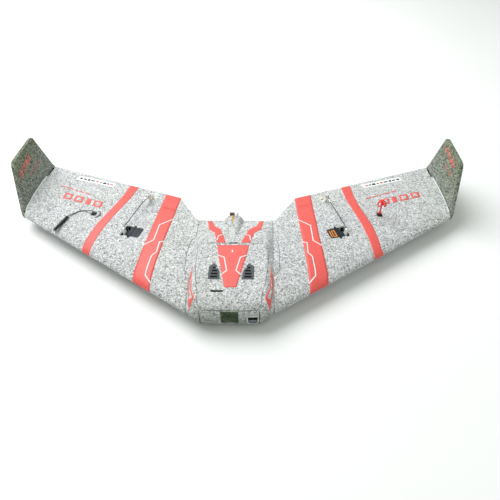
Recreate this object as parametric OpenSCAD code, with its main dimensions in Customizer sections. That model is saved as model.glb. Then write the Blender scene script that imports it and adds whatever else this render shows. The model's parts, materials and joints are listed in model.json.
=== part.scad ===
// Foam flying wing with a pusher motor, two elevons worked by servos, canted winglets and a lift-off hatch.
// The nose points to -Y and +X is the aircraft's left. The origin is on the ground under the middle.

/* [Whole aircraft] */
// Height of the wing's chord plane above the belly
wing_z = 28; // [26:1:32]
// How far the nose is ahead of the origin
nose_reach = 196.8; // [194:0.2:200]
// Tail edge of the fuselage, behind the origin
tail_y = 17; // [14:1:20]

/* [Wing] */
// Distance from the centreline to the wing seam
seam_x = 66; // [64:1:68]
// Distance from the centreline to the winglet joint at the chord plane
tip_x = 390; // [380:1:396]
// Where the leading edge line would meet the centreline
lead_y0 = -229.6; // [-232:0.2:-226]
// Slope of the leading edge
lead_slope = 0.667; // [0.64:0.001:0.69]
// Where the trailing edge line would meet the centreline
trail_y0 = 46.3; // [44:0.1:50]
// Slope of the trailing edge
trail_slope = 0.378; // [0.36:0.001:0.4]
// Thickness of the section as a share of its chord
wing_ratio = 0.1; // [0.09:0.005:0.11]
// Half thickness of the trailing edge as a share of the chord
edge_ratio = 0.005; // [0.004:0.001:0.008]
// Radius of the wing tip's front corner
tip_radius = 24; // [18:1:30]

/* [Elevon] */
// Chord of the elevon, measured along Y
elevon_chord = 38.5; // [34:0.5:42]
// Outboard end of the elevon
elevon_end_x = 387; // [380:0.5:387]
// Travel of the elevon each way, in degrees
elevon_travel = 22; // [15:1:25]
// Bevel of the elevon's front face under the hinge, in degrees
bevel_angle = 34; // [30:1:40]

/* [Winglet] */
// Outward cant, in degrees
cant = 9; // [6:1:12]
// Thickness of the foam
winglet_t = 7.5; // [6:0.5:9]
// Height of the top above the chord plane
winglet_h = 80; // [70:1:90]

/* [Fuselage] */
// Height of the plateau above the chord plane
plateau_h = 26; // [22:1:30]
// Height of the deck above the chord plane at the tail
deck_h = 6; // [5:0.5:8]
// Half width of the equipment bay
bay_half_w = 42; // [38:1:44]
// Height at which the hatch parts from the shell
split_z = 42; // [40:0.5:44]
// Gap round the hatch
hatch_gap = 0.35; // [0.3:0.05:0.6]
// Lift of the hatch when it is taken off
hatch_lift = 60; // [40:5:80]

/* [Motor pod] */
// Half width of the pod at the tail
pod_half_w = 17.5; // [17:0.5:21]
// How far the pod's tail stands to the aircraft's right of the middle
pod_lean = 3.5; // [0:0.5:4]
// Height of the pod's top above the chord plane at the tail
pod_top = 19; // [17:0.5:22]
// Depth of the pod below the chord plane at the tail
pod_bottom = 28; // [24:0.5:28]
// Height of the motor shaft
motor_z = 20.5; // [18:0.5:24]
// Radius of the motor bell
bell_r = 11.25; // [10.5:0.25:12]
// Radius of the propeller shaft
shaft_r = 2.5; // [2:0.25:3]

/* [Servo linkage] */
// X of the servo shaft, at the middle of its arm
servo_x = 190.5; // [186:0.5:194]
// Y of the servo shaft
servo_y = -21.5; // [-24:0.5:-18]
// Turn of the servo about the vertical, in degrees
servo_sweep = 16; // [14:1:20]
// Radius of the servo arm and of the control horn
horn_radius = 14; // [12:0.5:16]
// Radius of the pushrod
rod_r = 0.75; // [0.6:0.05:1]

/* [Aerials] */
// X of the aerial sockets
aerial_x = 258.5; // [250:0.5:264]
// Y of the aerial sockets
aerial_y = 28; // [20:0.5:34]
// Height of the lobed aerial above its socket
stem_h = 22; // [18:1:28]

/* [Hidden] */
$fn = 48;

EPS = 0.01;
BIG = 400;
FOAM = [0.72, 0.73, 0.73];
BLACK = [0.09, 0.09, 0.1];
STEEL = [0.62, 0.63, 0.65];
WHITE = [0.93, 0.92, 0.88];
PLY = [0.78, 0.58, 0.34];
CARBON = [0.13, 0.13, 0.14];
RED = [0.85, 0.12, 0.1];
BLUE = [0.16, 0.3, 0.62];
GREEN = [0.1, 0.3, 0.2];

// Section: the upper side takes more of the thickness than the lower side
camber_up = 1.15;
camber_down = 0.85;
section_steps = 24;
seam_gap = 0.15;

// Notch behind the fuselage, from the seam to the trailing edge
notch = [[60, 17], [68, 17], [71.5, 18], [76, 24], [81, 34], [94, 58.5], [111, 88], [111, 120], [60, 120]];

// Inner and outer end of each spar
spar_x = [seam_x + 14, 336];

// Locking ear of the fuselage in the wing root
ear = [[60, -125], [65.5, -125], [75.3, -112], [76.2, -72], [73.8, -44.5], [65.5, -33], [60, -33]];

// Hinge line on the wing's upper side
hinge_sweep = atan(trail_slope);
hinge_y0 = trail_y0 - elevon_chord;
hinge_z = wing_z + 5.3;
hinge_gap = 0.3;

// Slopes of the elevon's two sides, and its depth under the hinge axis, at the horn
elevon_top_slope = 7.2;
elevon_bottom_slope = 5.2;
elevon_depth = 9.6;

// Nose and belly
shoulder_x = 52;
belly_x = 46;
nose_y = -nose_reach;
nose_run = 40;
chin_run = 22;
deck_start = -64;
keel_start = -50;

// Hatch outline, right half of the plan
hatch_side = [
    [48.5, -62.2], [53, -64], [56.3, -68.5], [57.8, -77], [57.6, -108], [53.8, -141], [48.4, -166],
    [47.4, -183], [42, -190], [42, -210]
];

// Front of the finger notch, just behind the hatch
notch_y = -62.4;

// Equipment bay
bay_front = -158;
bay_rear = -72;
bay_floor = 6;
hatch_roof = 47;

// Nose recess and camera window
recess_w = 26.5;
recess_z = [wing_z - 12, split_z + 1];
recess_depth = 20;
camera_x = 34.3;
camera_z = 25.7;
window_w = 15;
window_top = 33.5;
window_bottom = 13.5;

// Vent outline, left half of the plan
vent_shape = [[35, -140.5], [16.8, -140.5], [18.5, -124], [26.6, -107.3], [35.2, -114]];
vent_t = 1.6;
louvre_w = 3.7;
cable_slot = [-29, -164.8];
cable_slot_w = 19;

// Motor
wall_t = 3;
wall_y = tail_y + 0.2;
mount_y = wall_y + wall_t;
motor_bolt_pcd = [16, 19];
motor_bolt_r = 1.5;
spine_z = wing_z + 3;
spine_x = -pod_lean - 3;
firewall_top_r = 12.5;
base_t = 2.6;
bell_front = mount_y + base_t + 0.8;
bell_len = 10;
bell_rear = bell_front + bell_len;
boss_len = 5.2;
boss_r = 4.6;
pin_from = bell_rear + boss_len + 0.3;
shaft_end = bell_rear + 18.6;
core_r = 2;

// Servo, lying on its side with its shaft pointing outboard
servo_z = hinge_z;
servo_len = 23;
servo_t = 12.2;
servo_depth = 22.5;
servo_back = -28;
servo_mid_v = 4.5;
ear_len = 32;
spline_r = 2.4;
blade_t = 1.8;
rod_u = 3.4;

// The rod meets the hinge line here, measured along the rod from the servo arm
rod_start_x = servo_x + rod_u * cos(servo_sweep);
rod_start_y = servo_y + rod_u * sin(servo_sweep);
rod_len = (hinge_y0 + trail_slope * rod_start_x - rod_start_y)
    / (cos(servo_sweep) + trail_slope * sin(servo_sweep));
horn_x = rod_start_x - rod_len * sin(servo_sweep);
horn_y = rod_start_y + rod_len * cos(servo_sweep);
horn_t = 1.8;
horn_hole_r = 1.4;
horn_screw_len = 9.8;

// Aerial lead: out of the socket, over the foam and into the stick
lead_r = 0.8;
lead_sides = 8;
lead_route = [
    [-258.5, 28, 42.4], [-258.5, 28, 44.4], [-259.8, 28.3, 46], [-262.6, 29.2, 46.4], [-265.8, 30.6, 45.2],
    [-269, 32.2, 43.2], [-272.6, 33.8, 41.6], [-276.4, 35.1, 40.7], [-280.5, 35.6, 40.4],
    [-284.3, 34.9, 40.3], [-287.8, 33.2, 40.3], [-291, 30.7, 40.4], [-294, 27.8, 40.6],
    [-296.8, 24.8, 40.9], [-299.4, 21.6, 41.3], [-302.4, 17.3, 41.8]
];
stick_from = [-302.4, 17.3, 41.8];
stick_to = [-315.5, -16, 39.6];
stick_r = 2.6;

// Plan positions of the wing's edges
function lead_y(x) = lead_y0 + lead_slope * abs(x);
function trail_y(x) = trail_y0 + trail_slope * abs(x);
function chord(x) = trail_y(x) - lead_y(x);
function hinge_y(x) = hinge_y0 + trail_slope * abs(x);
function clamp01(v) = min(1, max(0, v));

// Half thickness of the section at a share f of the chord, as a share of the chord
function half_t(f) = wing_ratio * 5 * (0.2969 * sqrt(f) - 0.126 * f - 0.3516 * f * f
    + 0.2843 * pow(f, 3) - 0.1036 * pow(f, 4)) + edge_ratio * f;
function share(x, y) = clamp01((y - lead_y(x)) / chord(x));
function wing_top(x, y) = wing_z + camber_up * chord(x) * half_t(share(x, y));
function wing_bottom(x, y) = wing_z - camber_down * chord(x) * half_t(share(x, y));

// Stations along the chord, closer together at the nose
function station(k, n) = (1 - cos(180 * k / n)) / 2;
function wing_ring(x) = concat(
    [for (k = [0 : section_steps])
        let (y = lead_y(x) + chord(x) * station(k, section_steps)) [x, y, wing_top(x, y)]],
    [for (k = [section_steps : -1 : 1])
        let (y = lead_y(x) + chord(x) * station(k, section_steps)) [x, y, wing_bottom(x, y)]]);

// Fuselage: a raised plateau that blends into the wing root's section at the seam
function side_share(x, from) = clamp01((abs(x) - from) / (seam_x - from));
function nose_line(x) = nose_y + 1.5 * pow(abs(x) / 46, 2) + 9.3 * pow(clamp01((abs(x) - 42) / 24), 2.2);
function front_share(x, y, run) = clamp01((nose_line(x) + run - y) / run);
function aft_share(y, from, power) = pow(clamp01((y - from) / (tail_y - from)), power);
function plateau(x, y) = (plateau_h - (plateau_h - deck_h) * aft_share(y, deck_start, 1.3))
    * pow(1 - pow(front_share(x, y, nose_run), 2.5), 0.4);
function body_top(x, y) = let (root = wing_top(seam_x, y) - wing_z)
    wing_z + root + (plateau(x, y) - root) * (1 - pow(side_share(x, shoulder_x), 1.6));
function keel(x, y) = (wing_z - (wing_z - deck_h) * aft_share(y, keel_start, 1.4))
    * sqrt(1 - pow(front_share(x, y, chin_run), 2));
function body_bottom(x, y) = let (root = wing_z - wing_bottom(seam_x, y))
    wing_z - root - (keel(x, y) - root) * (1 - pow(side_share(x, belly_x), 2.2));
body_steps = 22;
body_front_steps = 8;
function body_y(x, k) = k <= body_front_steps
    ? nose_line(x) + nose_run * (1 - cos(90 * k / body_front_steps))
    : nose_line(x) + nose_run
        + (tail_y - nose_line(x) - nose_run) * (k - body_front_steps) / (body_steps - body_front_steps);
function body_ring(x) = concat(
    [for (k = [0 : body_steps]) let (y = body_y(x, k)) [x, y, body_top(x, y)]],
    [for (k = [body_steps : -1 : 1]) let (y = body_y(x, k)) [x, y, body_bottom(x, y)]]);
body_half = [0, 20, 36, 44, 48, 52, 55, 58, 61, 63.5, seam_x - seam_gap];

// Pod: oval rings that grow towards the tail
pod_sides = 28;
pod_front = -66;
function pod_ring(y) = let (s = clamp01((y - pod_front) / (tail_y - pod_front)),
        w = 7 + (pod_half_w - 7) * pow(s, 0.8),
        up = plateau_h - (plateau_h - pod_top) * s,
        down = wing_z - (wing_z - pod_bottom) * s)
    [for (k = [0 : pod_sides - 1]) let (a = 360 * k / pod_sides, c = cos(a), n = sin(a))
        [w * sign(c) * pow(abs(c), 0.8) - pod_lean * s, y, wing_z + (n > 0 ? up : down) * sign(n) * pow(abs(n), 0.8)]];

// Skin of triangles through a row of rings, closed at both ends
module loft(rings) {
    n = len(rings[0]);
    rows = len(rings);
    sides = [for (r = [0 : rows - 2], k = [0 : n - 1])
        let (a = r * n + k, b = r * n + (k + 1) % n) each [[a, b, a + n], [b, b + n, a + n]]];
    caps = [[for (k = [n - 1 : -1 : 0]) k], [for (k = [0 : n - 1]) (rows - 1) * n + k]];
    polyhedron([for (ring = rings) each ring], concat(sides, caps), convexity = 8);
}

// Tube of a few flat sides swept along a route
function unit(v) = v / norm(v);
function heading(path, k) = unit(path[min(k + 1, len(path) - 1)] - path[max(k - 1, 0)]);
function tube_ring(path, k, r, n) = let (t = heading(path, k),
        side = unit(cross(t, abs(t[2]) > 0.9 ? [0, 1, 0] : [0, 0, 1])), up = cross(side, t))
    [for (j = [0 : n - 1]) path[k] + r * (cos(360 * j / n) * side + sin(360 * j / n) * up)];

module tube(path, r, n) {
    loft([for (k = [0 : len(path) - 1]) tube_ring(path, k, r, n)]);
}

module rod_between(a, b, r) {
    d = b - a;
    translate(a)
        rotate([0, acos(d[2] / norm(d)), atan2(d[1], d[0])])
            cylinder(h = norm(d), r = r);
}

// Left pieces are modelled once, and the right ones are their mirror images
module on_side(side) {
    if (side > 0)
        children();
    else
        mirror([1, 0, 0])
            children();
}

module prism(outline, z0, z1) {
    translate([0, 0, z0])
        linear_extrude(z1 - z0)
            polygon(outline);
}

// Frame of the elevon hinge: +X outboard along the hinge, +Y rearward, at the horn
module hinge_frame() {
    translate([horn_x, horn_y, hinge_z])
        rotate([0, 0, hinge_sweep])
            children();
}

// Frame of the servo: +X outboard along its shaft, +Y along the pushrod
module servo_frame() {
    translate([servo_x, servo_y, servo_z])
        rotate([0, 0, servo_sweep])
            children();
}

// A cylinder along +X
module axle(x0, x1, r) {
    translate([x0, 0, 0])
        rotate([0, 90, 0])
            cylinder(h = x1 - x0, r = r);
}

// A cylinder along +Y
module shaft(y0, y1, r) {
    translate([0, y0, 0])
        rotate([-90, 0, 0])
            cylinder(h = y1 - y0, r = r);
}

// ---- Foam ----

module body_loft() {
    xs = concat([for (k = [len(body_half) - 1 : -1 : 1]) -body_half[k]], body_half);
    loft([for (x = xs) body_ring(x)]);
}

module pod_loft() {
    ys = [-66, -50, -34, -18, -4, 8, tail_y];
    loft([for (y = ys) pod_ring(y)]);
}

module wing_loft(from, to) {
    loft([for (x = [from, to]) wing_ring(x)]);
}

module ear_loft(gap) {
    intersection() {
        wing_loft(seam_x - 5, 82);
        prism([for (p = ear) [p[0] + gap, p[1] + sign(p[1] + 79) * gap]], 0, 60);
    }
}

module hatch_prism(gap, z0) {
    half = [for (p = hatch_side) [p[0] - gap, p[1] - (p[1] > -63 ? gap : 0)]];
    outline = concat(half, [for (k = [len(half) - 1 : -1 : 0]) [-half[k][0], half[k][1]]]);
    prism(outline, z0, 80);
}

module window_cut() {
    translate([camera_x, 0, 0])
        rotate([90, 0, 0])
            linear_extrude(-bay_front + 60)
                union() {
                    translate([-window_w / 2, window_bottom + window_w / 2])
                        square([window_w, window_top - window_bottom - window_w / 2]);
                    translate([0, window_bottom + window_w / 2])
                        circle(r = window_w / 2);
                }
}

module fuselage_shell() {
    color(FOAM)
        difference() {
            union() {
                body_loft();
                pod_loft();
                for (side = [1, -1])
                    on_side(side)
                        ear_loft(-seam_gap);
            }
            hatch_prism(0, split_z);
            // Equipment bay
            translate([-bay_half_w, bay_front, bay_floor])
                cube([2 * bay_half_w, bay_rear - bay_front, 60]);
            // Square recess in the nose
            translate([-recess_w / 2, nose_y - 10, recess_z[0]])
                cube([recess_w, recess_depth + 10, recess_z[1] - recess_z[0]]);
            // Camera window, open to the bay
            intersection() {
                window_cut();
                translate([0, nose_y - 10, 0])
                    cube([80, bay_front + EPS - nose_y + 10, 60]);
            }
            // Finger notch behind the hatch
            translate([-7.5, notch_y, 46])
                cube([15, 3, 20]);
            // Slot for the plywood spine and room for the tail face
            translate([spine_x - 0.2, -2, spine_z - 0.2])
                cube([3.4, 30, 40]);
            // Bores of the joiner tubes
            translate([0, -52, wing_z])
                axle(-100, 100, 4.05);
            translate([0, -12, wing_z])
                axle(-100, 100, 2.55);
            // Channel of the motor leads, from the bay to the firewall
            translate([8, 0, motor_z + 10])
                shaft(-80, 30, 3.2);
            // Seats of the motor screws' heads
            motor_axis()
                motor_bolt_places()
                    shaft(tail_y - 3, tail_y + 1, 3.2);
            // Seats of the magnets
            bay_magnet_places()
                translate([0, 0, split_z - 2])
                    cylinder(h = 3, r = 4.05);
        }
}

module bay_magnet_places() {
    for (x = [-49, 49])
        translate([x, -90, 0])
            children();
    for (x = [-30, 22])
        translate([x, -176, 0])
            children();
}

module hatch() {
    color(FOAM)
        difference() {
            intersection() {
                body_loft();
                hatch_prism(hatch_gap, split_z + hatch_gap);
            }
            // Hollow underside over the bay
            translate([-bay_half_w, bay_front + 4, split_z - 1])
                cube([2 * bay_half_w, bay_rear - bay_front - 8, hatch_roof - split_z + 1]);
            // Cable slot, and the channel under the hatch that joins it to the bay
            translate([cable_slot[0], cable_slot[1], split_z - 2])
                cube([cable_slot_w, 3, 30]);
            translate([cable_slot[0], cable_slot[1], split_z - 1])
                cube([cable_slot_w, bay_front + 6 - cable_slot[1], 5]);
            // Seats of the vents, with their air holes
            for (side = [1, -1])
                on_side(side) {
                    prism(vent_shape, wing_z + plateau_h - 1, 80);
                    translate([19.8, -138, split_z - 2])
                        cube([12, 18, 30]);
                }
            bay_magnet_places()
                translate([0, 0, split_z])
                    cylinder(h = 2.4 + hatch_gap, r = 4.05);
        }
}

module vent() {
    color([0.2, 0.21, 0.22])
        difference() {
            prism(vent_shape, wing_z + plateau_h - 1, wing_z + plateau_h - 1 + vent_t);
            for (k = [0 : 3])
                translate([20.6 + 0.5 * k, -137.6 + 6.2 * k, 40])
                    cube([11 - 1.2 * k, louvre_w, 30]);
        }
}

module vent_left() {
    vent();
}

module vent_right() {
    mirror([1, 0, 0])
        vent();
}

module hatch_magnets() {
    color(STEEL)
        bay_magnet_places()
            translate([0, 0, split_z + hatch_gap])
                cylinder(h = 2, r = 4);
}

module bay_magnets() {
    color(STEEL)
        bay_magnet_places()
            translate([0, 0, split_z - 2])
                cylinder(h = 1.9, r = 4);
}

// Everything outboard of the winglet joint, which leans out with the winglet
module beyond_joint(gap) {
    translate([tip_x - gap, -BIG, wing_z])
        rotate([0, cant, 0])
            translate([0, 0, -100])
                cube([200, 2 * BIG, 200]);
}

// Front corner of the wing tip, outside its rounding
module tip_corner() {
    centre_x = tip_x - tip_radius;
    lean = atan(lead_slope);
    centre_y = lead_y(centre_x) + tip_radius / cos(lean);
    difference() {
        prism([
            [centre_x + tip_radius * sin(lean), centre_y - tip_radius * cos(lean)],
            [centre_x + tip_radius * sin(lean), centre_y - 60],
            [tip_x + 20, centre_y - 60],
            [tip_x + 20, centre_y]
        ], 0, 60);
        translate([centre_x, centre_y, -1])
            cylinder(h = 80, r = tip_radius, $fn = 96);
    }
}

// Region of the elevon: behind the hinge line, with its front face bevelled under the hinge
module elevon_region(front) {
    hinge_frame()
        rotate([90, 0, 90])
            translate([0, 0, -BIG])
                linear_extrude(2 * BIG)
                    polygon([
                        [front, 30], [front, 0], [front + 30 * tan(bevel_angle), -30], [80, -30], [80, 30]
                    ]);
}

module servo_pocket() {
    servo_frame() {
        translate([servo_back - 0.5, servo_mid_v - servo_len / 2 - 0.5, -servo_t / 2 - 0.3])
            cube([-servo_back + 6, servo_len + 1, 40]);
        translate([-servo_depth / 2 - 1.9, servo_mid_v - ear_len / 2 - 0.5, -servo_t / 2 - 0.3])
            cube([4, ear_len + 1, 40]);
        // Room for the swinging arm and rod
        translate([-1, -9, -6.4])
            cube([6.5, 26, 40]);
    }
}

module wing() {
    color(FOAM)
        difference() {
            wing_loft(seam_x + seam_gap, tip_x + 8);
            beyond_joint(0.1);
            tip_corner();
            prism(notch, 0, 60);
            elevon_gap();
            prism([for (p = ear) [p[0] + seam_gap, p[1] + sign(p[1] + 79) * seam_gap]], 0, 60);
            servo_pocket();
            translate([0, -52, wing_z])
                axle(0, 150.5, 4.05);
            translate([0, -12, wing_z])
                axle(0, 120.5, 2.55);
            spar_line(3.05, 0.5);
            // Seat of the aerial socket
            translate([aerial_x, aerial_y, wing_z])
                cylinder(h = 40, r = 4.6);
        }
}

// The elevon and everything behind and beside it, cut from the fixed wing
module elevon_gap() {
    hinge_frame()
        translate([-BIG, -hinge_gap, -BIG / 2])
            cube([2 * BIG, BIG, BIG]);
}

function spar_point(x) = [x, lead_y(x) + 0.27 * chord(x), wing_z];

module spar_line(r, extra) {
    a = spar_point(spar_x[0]);
    b = spar_point(spar_x[1]);
    rod_between(a - extra * unit(b - a), b + extra * unit(b - a), r);
}

module elevon() {
    color(FOAM)
        difference() {
            intersection() {
                wing_loft(80, tip_x + 8);
                elevon_region(hinge_gap);
            }
            prism(notch, 0, 60);
            translate([elevon_end_x, -BIG, 0])
                cube([50, 2 * BIG, 80]);
            horn_tilt()
                translate([-6.1, 1.9, -1.5])
                    cube([12.2, 18.2, 20]);
            horn_screw_places()
                translate([0, 0, -20])
                    cylinder(h = 40, r = 1.1);
        }
}

// Frame on the elevon's upper side, sloping with it, for the horn and its screws
module horn_tilt() {
    hinge_frame()
        rotate([-elevon_top_slope, 0, 0])
            children();
}

// The same on the underside
module plate_tilt() {
    hinge_frame()
        translate([0, 0, -elevon_depth])
            rotate([elevon_bottom_slope, 0, 0])
                children();
}

module horn_screw_places() {
    horn_tilt()
        for (x = [-3.6, 3.6])
            translate([x, 11, 0])
                children();
}

module horn() {
    color(WHITE)
        difference() {
            union() {
                horn_tilt()
                    translate([-6, 2, -1.4])
                        cube([12, 18, 1.6]);
                hinge_frame()
                    rotate([90, 0, 90])
                        translate([0, 0, -horn_t / 2])
                            linear_extrude(horn_t)
                                difference() {
                                    hull() {
                                        translate([0, horn_radius])
                                            circle(r = 2.9, $fn = 32);
                                        translate([3.2, -1])
                                            square([15, 0.6]);
                                    }
                                    translate([9, 3.2])
                                        circle(r = 2, $fn = 32);
                                }
            }
            hinge_frame()
                translate([0, 0, horn_radius])
                    axle(-5, 5, horn_hole_r);
            horn_screw_places()
                translate([0, 0, -4])
                    cylinder(h = 10, r = 1.1);
        }
}

module horn_plate() {
    color(WHITE)
        difference() {
            plate_tilt()
                translate([-6, 4, -1.7])
                    cube([12, 16, 1.5]);
            horn_screw_places()
                translate([0, 0, -20])
                    cylinder(h = 40, r = 1.1);
        }
}

module horn_screws() {
    color(STEEL)
        horn_screw_places()
            difference() {
                union() {
                    translate([0, 0, 0.25])
                        cylinder(h = 1.3, r = 1.9);
                    translate([0, 0, -horn_screw_len])
                        cylinder(h = horn_screw_len + 0.3, r = 1.0);
                }
                translate([-2.5, -0.25, 1.0])
                    cube([5, 0.5, 2]);
            }
}

module winglet() {
    top = winglet_h / cos(cant);
    color(FOAM)
        translate([tip_x, 0, wing_z])
            rotate([0, cant, 0])
                rotate([90, 0, 90])
                    linear_extrude(winglet_t)
                        winglet_outline(top);
}

// Side view of a winglet: Y across, height above the chord plane upwards
module winglet_outline(top) {
    heel_y = nose_reach;
    polygon([
        [36, -5.5], [36.5, 0], [40, 8], [82, top - 12], [86.5, top - 5.5], [92.5, top - 1.4], [99, top],
        [173, top], [176.5, top - 0.8], [178.5, top - 3], [192.5, 10], [heel_y, -1], [heel_y - 0.4, -4],
        [heel_y - 3, -6], [42, -8], [38, -7.4]
    ]);
}

module wing_left() {
    wing();
}

module wing_right() {
    mirror([1, 0, 0])
        wing();
}

module elevon_left() {
    elevon();
}

module elevon_right() {
    mirror([1, 0, 0])
        elevon();
}

module winglet_left() {
    winglet();
}

module winglet_right() {
    mirror([1, 0, 0])
        winglet();
}

// ---- Carbon ----

module joiner_front() {
    color(CARBON)
        translate([0, -52, wing_z])
            difference() {
                axle(-150, 150, 4);
                axle(-151, 151, 3);
            }
}

module joiner_rear() {
    color(CARBON)
        translate([0, -12, wing_z])
            difference() {
                axle(-120, 120, 2.5);
                axle(-121, 121, 1.5);
            }
}

module spar() {
    color(CARBON)
        difference() {
            spar_line(3, 0);
            spar_line(2, 2);
        }
}

module spar_left() {
    spar();
}

module spar_right() {
    mirror([1, 0, 0])
        spar();
}

// ---- Motor mount and motor ----

module motor_axis() {
    translate([0, 0, motor_z])
        children();
}

// The bolt crosses: two long, two short
module motor_bolt_places() {
    for (k = [0 : 3])
        rotate([0, 45 + 90 * k, 0])
            translate([motor_bolt_pcd[k % 2] / 2, 0, 0])
                children();
}

module firewall() {
    color(PLY)
        difference() {
            translate([0, mount_y, 0])
                rotate([90, 0, 0])
                    linear_extrude(wall_t) {
                        hull() {
                            translate([-pod_lean / 2, wing_z + 3])
                                circle(r = firewall_top_r);
                            translate([0, motor_z - 1])
                                circle(r = 15);
                        }
                        // Tab that stands a little above the pod
                        translate([-pod_lean - 7.4, wing_z])
                            square([8.8, pod_top + 3.8]);
                    }
            motor_axis()
                shaft(wall_y - 1, mount_y + 1, 4.2);
            motor_axis()
                motor_bolt_places()
                    shaft(wall_y - 1, mount_y + 1, motor_bolt_r + 0.05);
            translate([8, 0, motor_z + 10])
                shaft(wall_y - 1, mount_y + 1, 3);
        }
}

module motor_spine() {
    color(PLY)
        translate([spine_x, -1.5, spine_z])
            cube([3, tail_y + 1.5, wing_z + pod_top + 0.6 - spine_z]);
}

module motor_base() {
    color([0.16, 0.16, 0.17])
        motor_axis()
            difference() {
                union() {
                    // Four-armed foot
                    for (a = [45, 135])
                        rotate([0, a, 0])
                            translate([-12, mount_y, -3.4])
                                cube([24, base_t, 6.8]);
                    shaft(mount_y, mount_y + base_t, 8.5);
                    // Bearing tube with the stator on it
                    shaft(mount_y, bell_rear - 3, 4);
                    shaft(bell_front + 1, bell_rear - 3.4, bell_r - 1.8);
                }
                shaft(mount_y - 1, bell_rear, 1.55);
                motor_bolt_places()
                    shaft(mount_y - 1, mount_y + base_t + 0.5, motor_bolt_r + 0.05);
            }
}

module motor_screws() {
    color(STEEL)
        motor_axis()
            motor_bolt_places()
                difference() {
                    union() {
                        shaft(wall_y - 2.2, wall_y, 2.7);
                        shaft(wall_y - EPS, mount_y + base_t - 0.2, motor_bolt_r);
                    }
                    shaft(wall_y - 3, wall_y - 1, 1.25);
                }
}

module motor_bell() {
    color([0.3, 0.31, 0.33])
        motor_axis()
            difference() {
                union() {
                    shaft(bell_front, bell_rear, bell_r);
                    shaft(bell_rear - EPS, bell_rear + boss_len, boss_r);
                }
                shaft(bell_front - 1, bell_rear - 2.6, bell_r - 1.2);
                // Cooling windows of the closed end
                for (k = [0 : 5])
                    rotate([0, 60 * k, 0])
                        translate([bell_r - 3.6, 0, 0])
                            shaft(bell_rear - 5, bell_rear + 3, 1.9);
                shaft(bell_rear - 5, bell_rear + 3, core_r);
            }
}

module motor_shaft() {
    color(STEEL)
        motor_axis()
            union() {
                shaft(pin_from, shaft_end, shaft_r);
                shaft(bell_rear - 2.7, pin_from + EPS, core_r);
                shaft(mount_y + 0.4, bell_rear - 2.6, 1.5);
            }
}

// ---- Equipment in the bay ----

battery_at = [-38, -154, bay_floor + 0.3];
battery_size = [35, 72, 25];
module battery() {
    color(BLUE)
        difference() {
            translate(battery_at)
                cube(battery_size);
            // Rounded long edges
            for (x = [battery_at[0], battery_at[0] + battery_size[0]])
                translate([x, battery_at[1] - 1, battery_at[2] + battery_size[2]])
                    rotate([0, 45, 0])
                        translate([-1.4, 0, -1.4])
                            cube([2.8, battery_size[1] + 2, 2.8]);
        }
}

module battery_strap() {
    color(BLACK)
        translate([battery_at[0] - 1.5, battery_at[1] + 26, bay_floor + 0.1])
            difference() {
                cube([battery_size[0] + 3, 20, battery_size[2] + 1.6]);
                translate([1.3, -1, -1])
                    cube([battery_size[0] + 0.4, 22, battery_size[2] + 1.3]);
            }
}

module battery_plug() {
    color([0.95, 0.75, 0.1])
        translate([-28, -80.5, bay_floor + 6])
            difference() {
                cube([16, 7.6, 8]);
                for (x = [4.2, 11.8])
                    translate([x, 0, 4])
                        shaft(-1, 6, 2.2);
            }
}

module speed_controller() {
    color(GREEN)
        translate([24, -80.5, bay_floor + 0.2])
            union() {
                cube([16, 7.6, 30]);
                translate([2, -2.4, 3])
                    cube([12, 2.5, 20]);
            }
}

module flight_controller() {
    color(GREEN)
        translate([4, -130, bay_floor + 0.2])
            difference() {
                union() {
                    translate([0, 0, 6])
                        cube([36, 36, 1.6]);
                    for (x = [2.8, 33.2], y = [2.8, 33.2])
                        translate([x, y, 0])
                            cylinder(h = 6.1, r = 2.4);
                    translate([13, 12, 7.5])
                        cube([10, 10, 1.4]);
                    translate([2, 14, 7.5])
                        cube([6, 9, 3.4]);
                    translate([27, 6, 7.5])
                        cube([7, 5, 2.2]);
                }
                for (x = [2.8, 33.2], y = [2.8, 33.2])
                    translate([x, y, -1])
                        cylinder(h = 12, r = 1.5);
            }
}

module receiver() {
    color([0.85, 0.86, 0.88])
        translate([6, -154, bay_floor + 0.2])
            union() {
                cube([16, 20, 8]);
                translate([2, 19.9, 1.5])
                    cube([12, 2.4, 5]);
            }
}

module video_transmitter() {
    color(STEEL)
        translate([25, -152, bay_floor + 0.2])
            union() {
                cube([14, 20, 3]);
                for (k = [0 : 4])
                    translate([1 + 2.7 * k, 1, 2.9])
                        cube([1.2, 18, 3.2]);
            }
}

module nose_camera() {
    color(BLACK)
        translate([camera_x, 0, camera_z])
            difference() {
                union() {
                    translate([-7, nose_y + 12, -7])
                        cube([14, 16, 14]);
                    shaft(nose_y + 6, nose_y + 12.1, 5);
                }
                shaft(nose_y + 5, nose_y + 9, 4.1);
            }
}

module camera_lens() {
    color([0.35, 0.4, 0.5])
        translate([camera_x, 0, camera_z])
            union() {
                shaft(nose_y + 7, nose_y + 9, 4);
                translate([0, nose_y + 7, 0])
                    rotate([90, 0, 0])
                        rotate_extrude($fn = 64)
                            intersection() {
                                translate([0, -6.9])
                                    circle(r = 8);
                                square([4, 1.1]);
                            }
            }
}

// ---- Servos, arms and pushrods ----

module servo() {
    color([0.16, 0.17, 0.2])
        servo_frame()
            difference() {
                union() {
                    translate([servo_back, servo_mid_v - servo_len / 2, -servo_t / 2])
                        cube([servo_depth, servo_len, servo_t]);
                    translate([servo_back + 15.9, servo_mid_v - ear_len / 2, -servo_t / 2])
                        cube([2.2, ear_len, servo_t]);
                    // Gear cover and splined shaft
                    axle(servo_back + servo_depth - EPS, servo_back + servo_depth + 3.8, 5.9);
                    translate([0, 6, 0])
                        axle(servo_back + servo_depth - EPS, servo_back + servo_depth + 3.8, 2.6);
                    axle(-2, 1.2, spline_r);
                }
                axle(-1.8, 3, 1.2);
                for (v = [servo_mid_v - 14.1, servo_mid_v + 14.1])
                    translate([0, v, 0])
                        axle(servo_back + 15, servo_back + 20, 1.1);
            }
}

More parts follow.
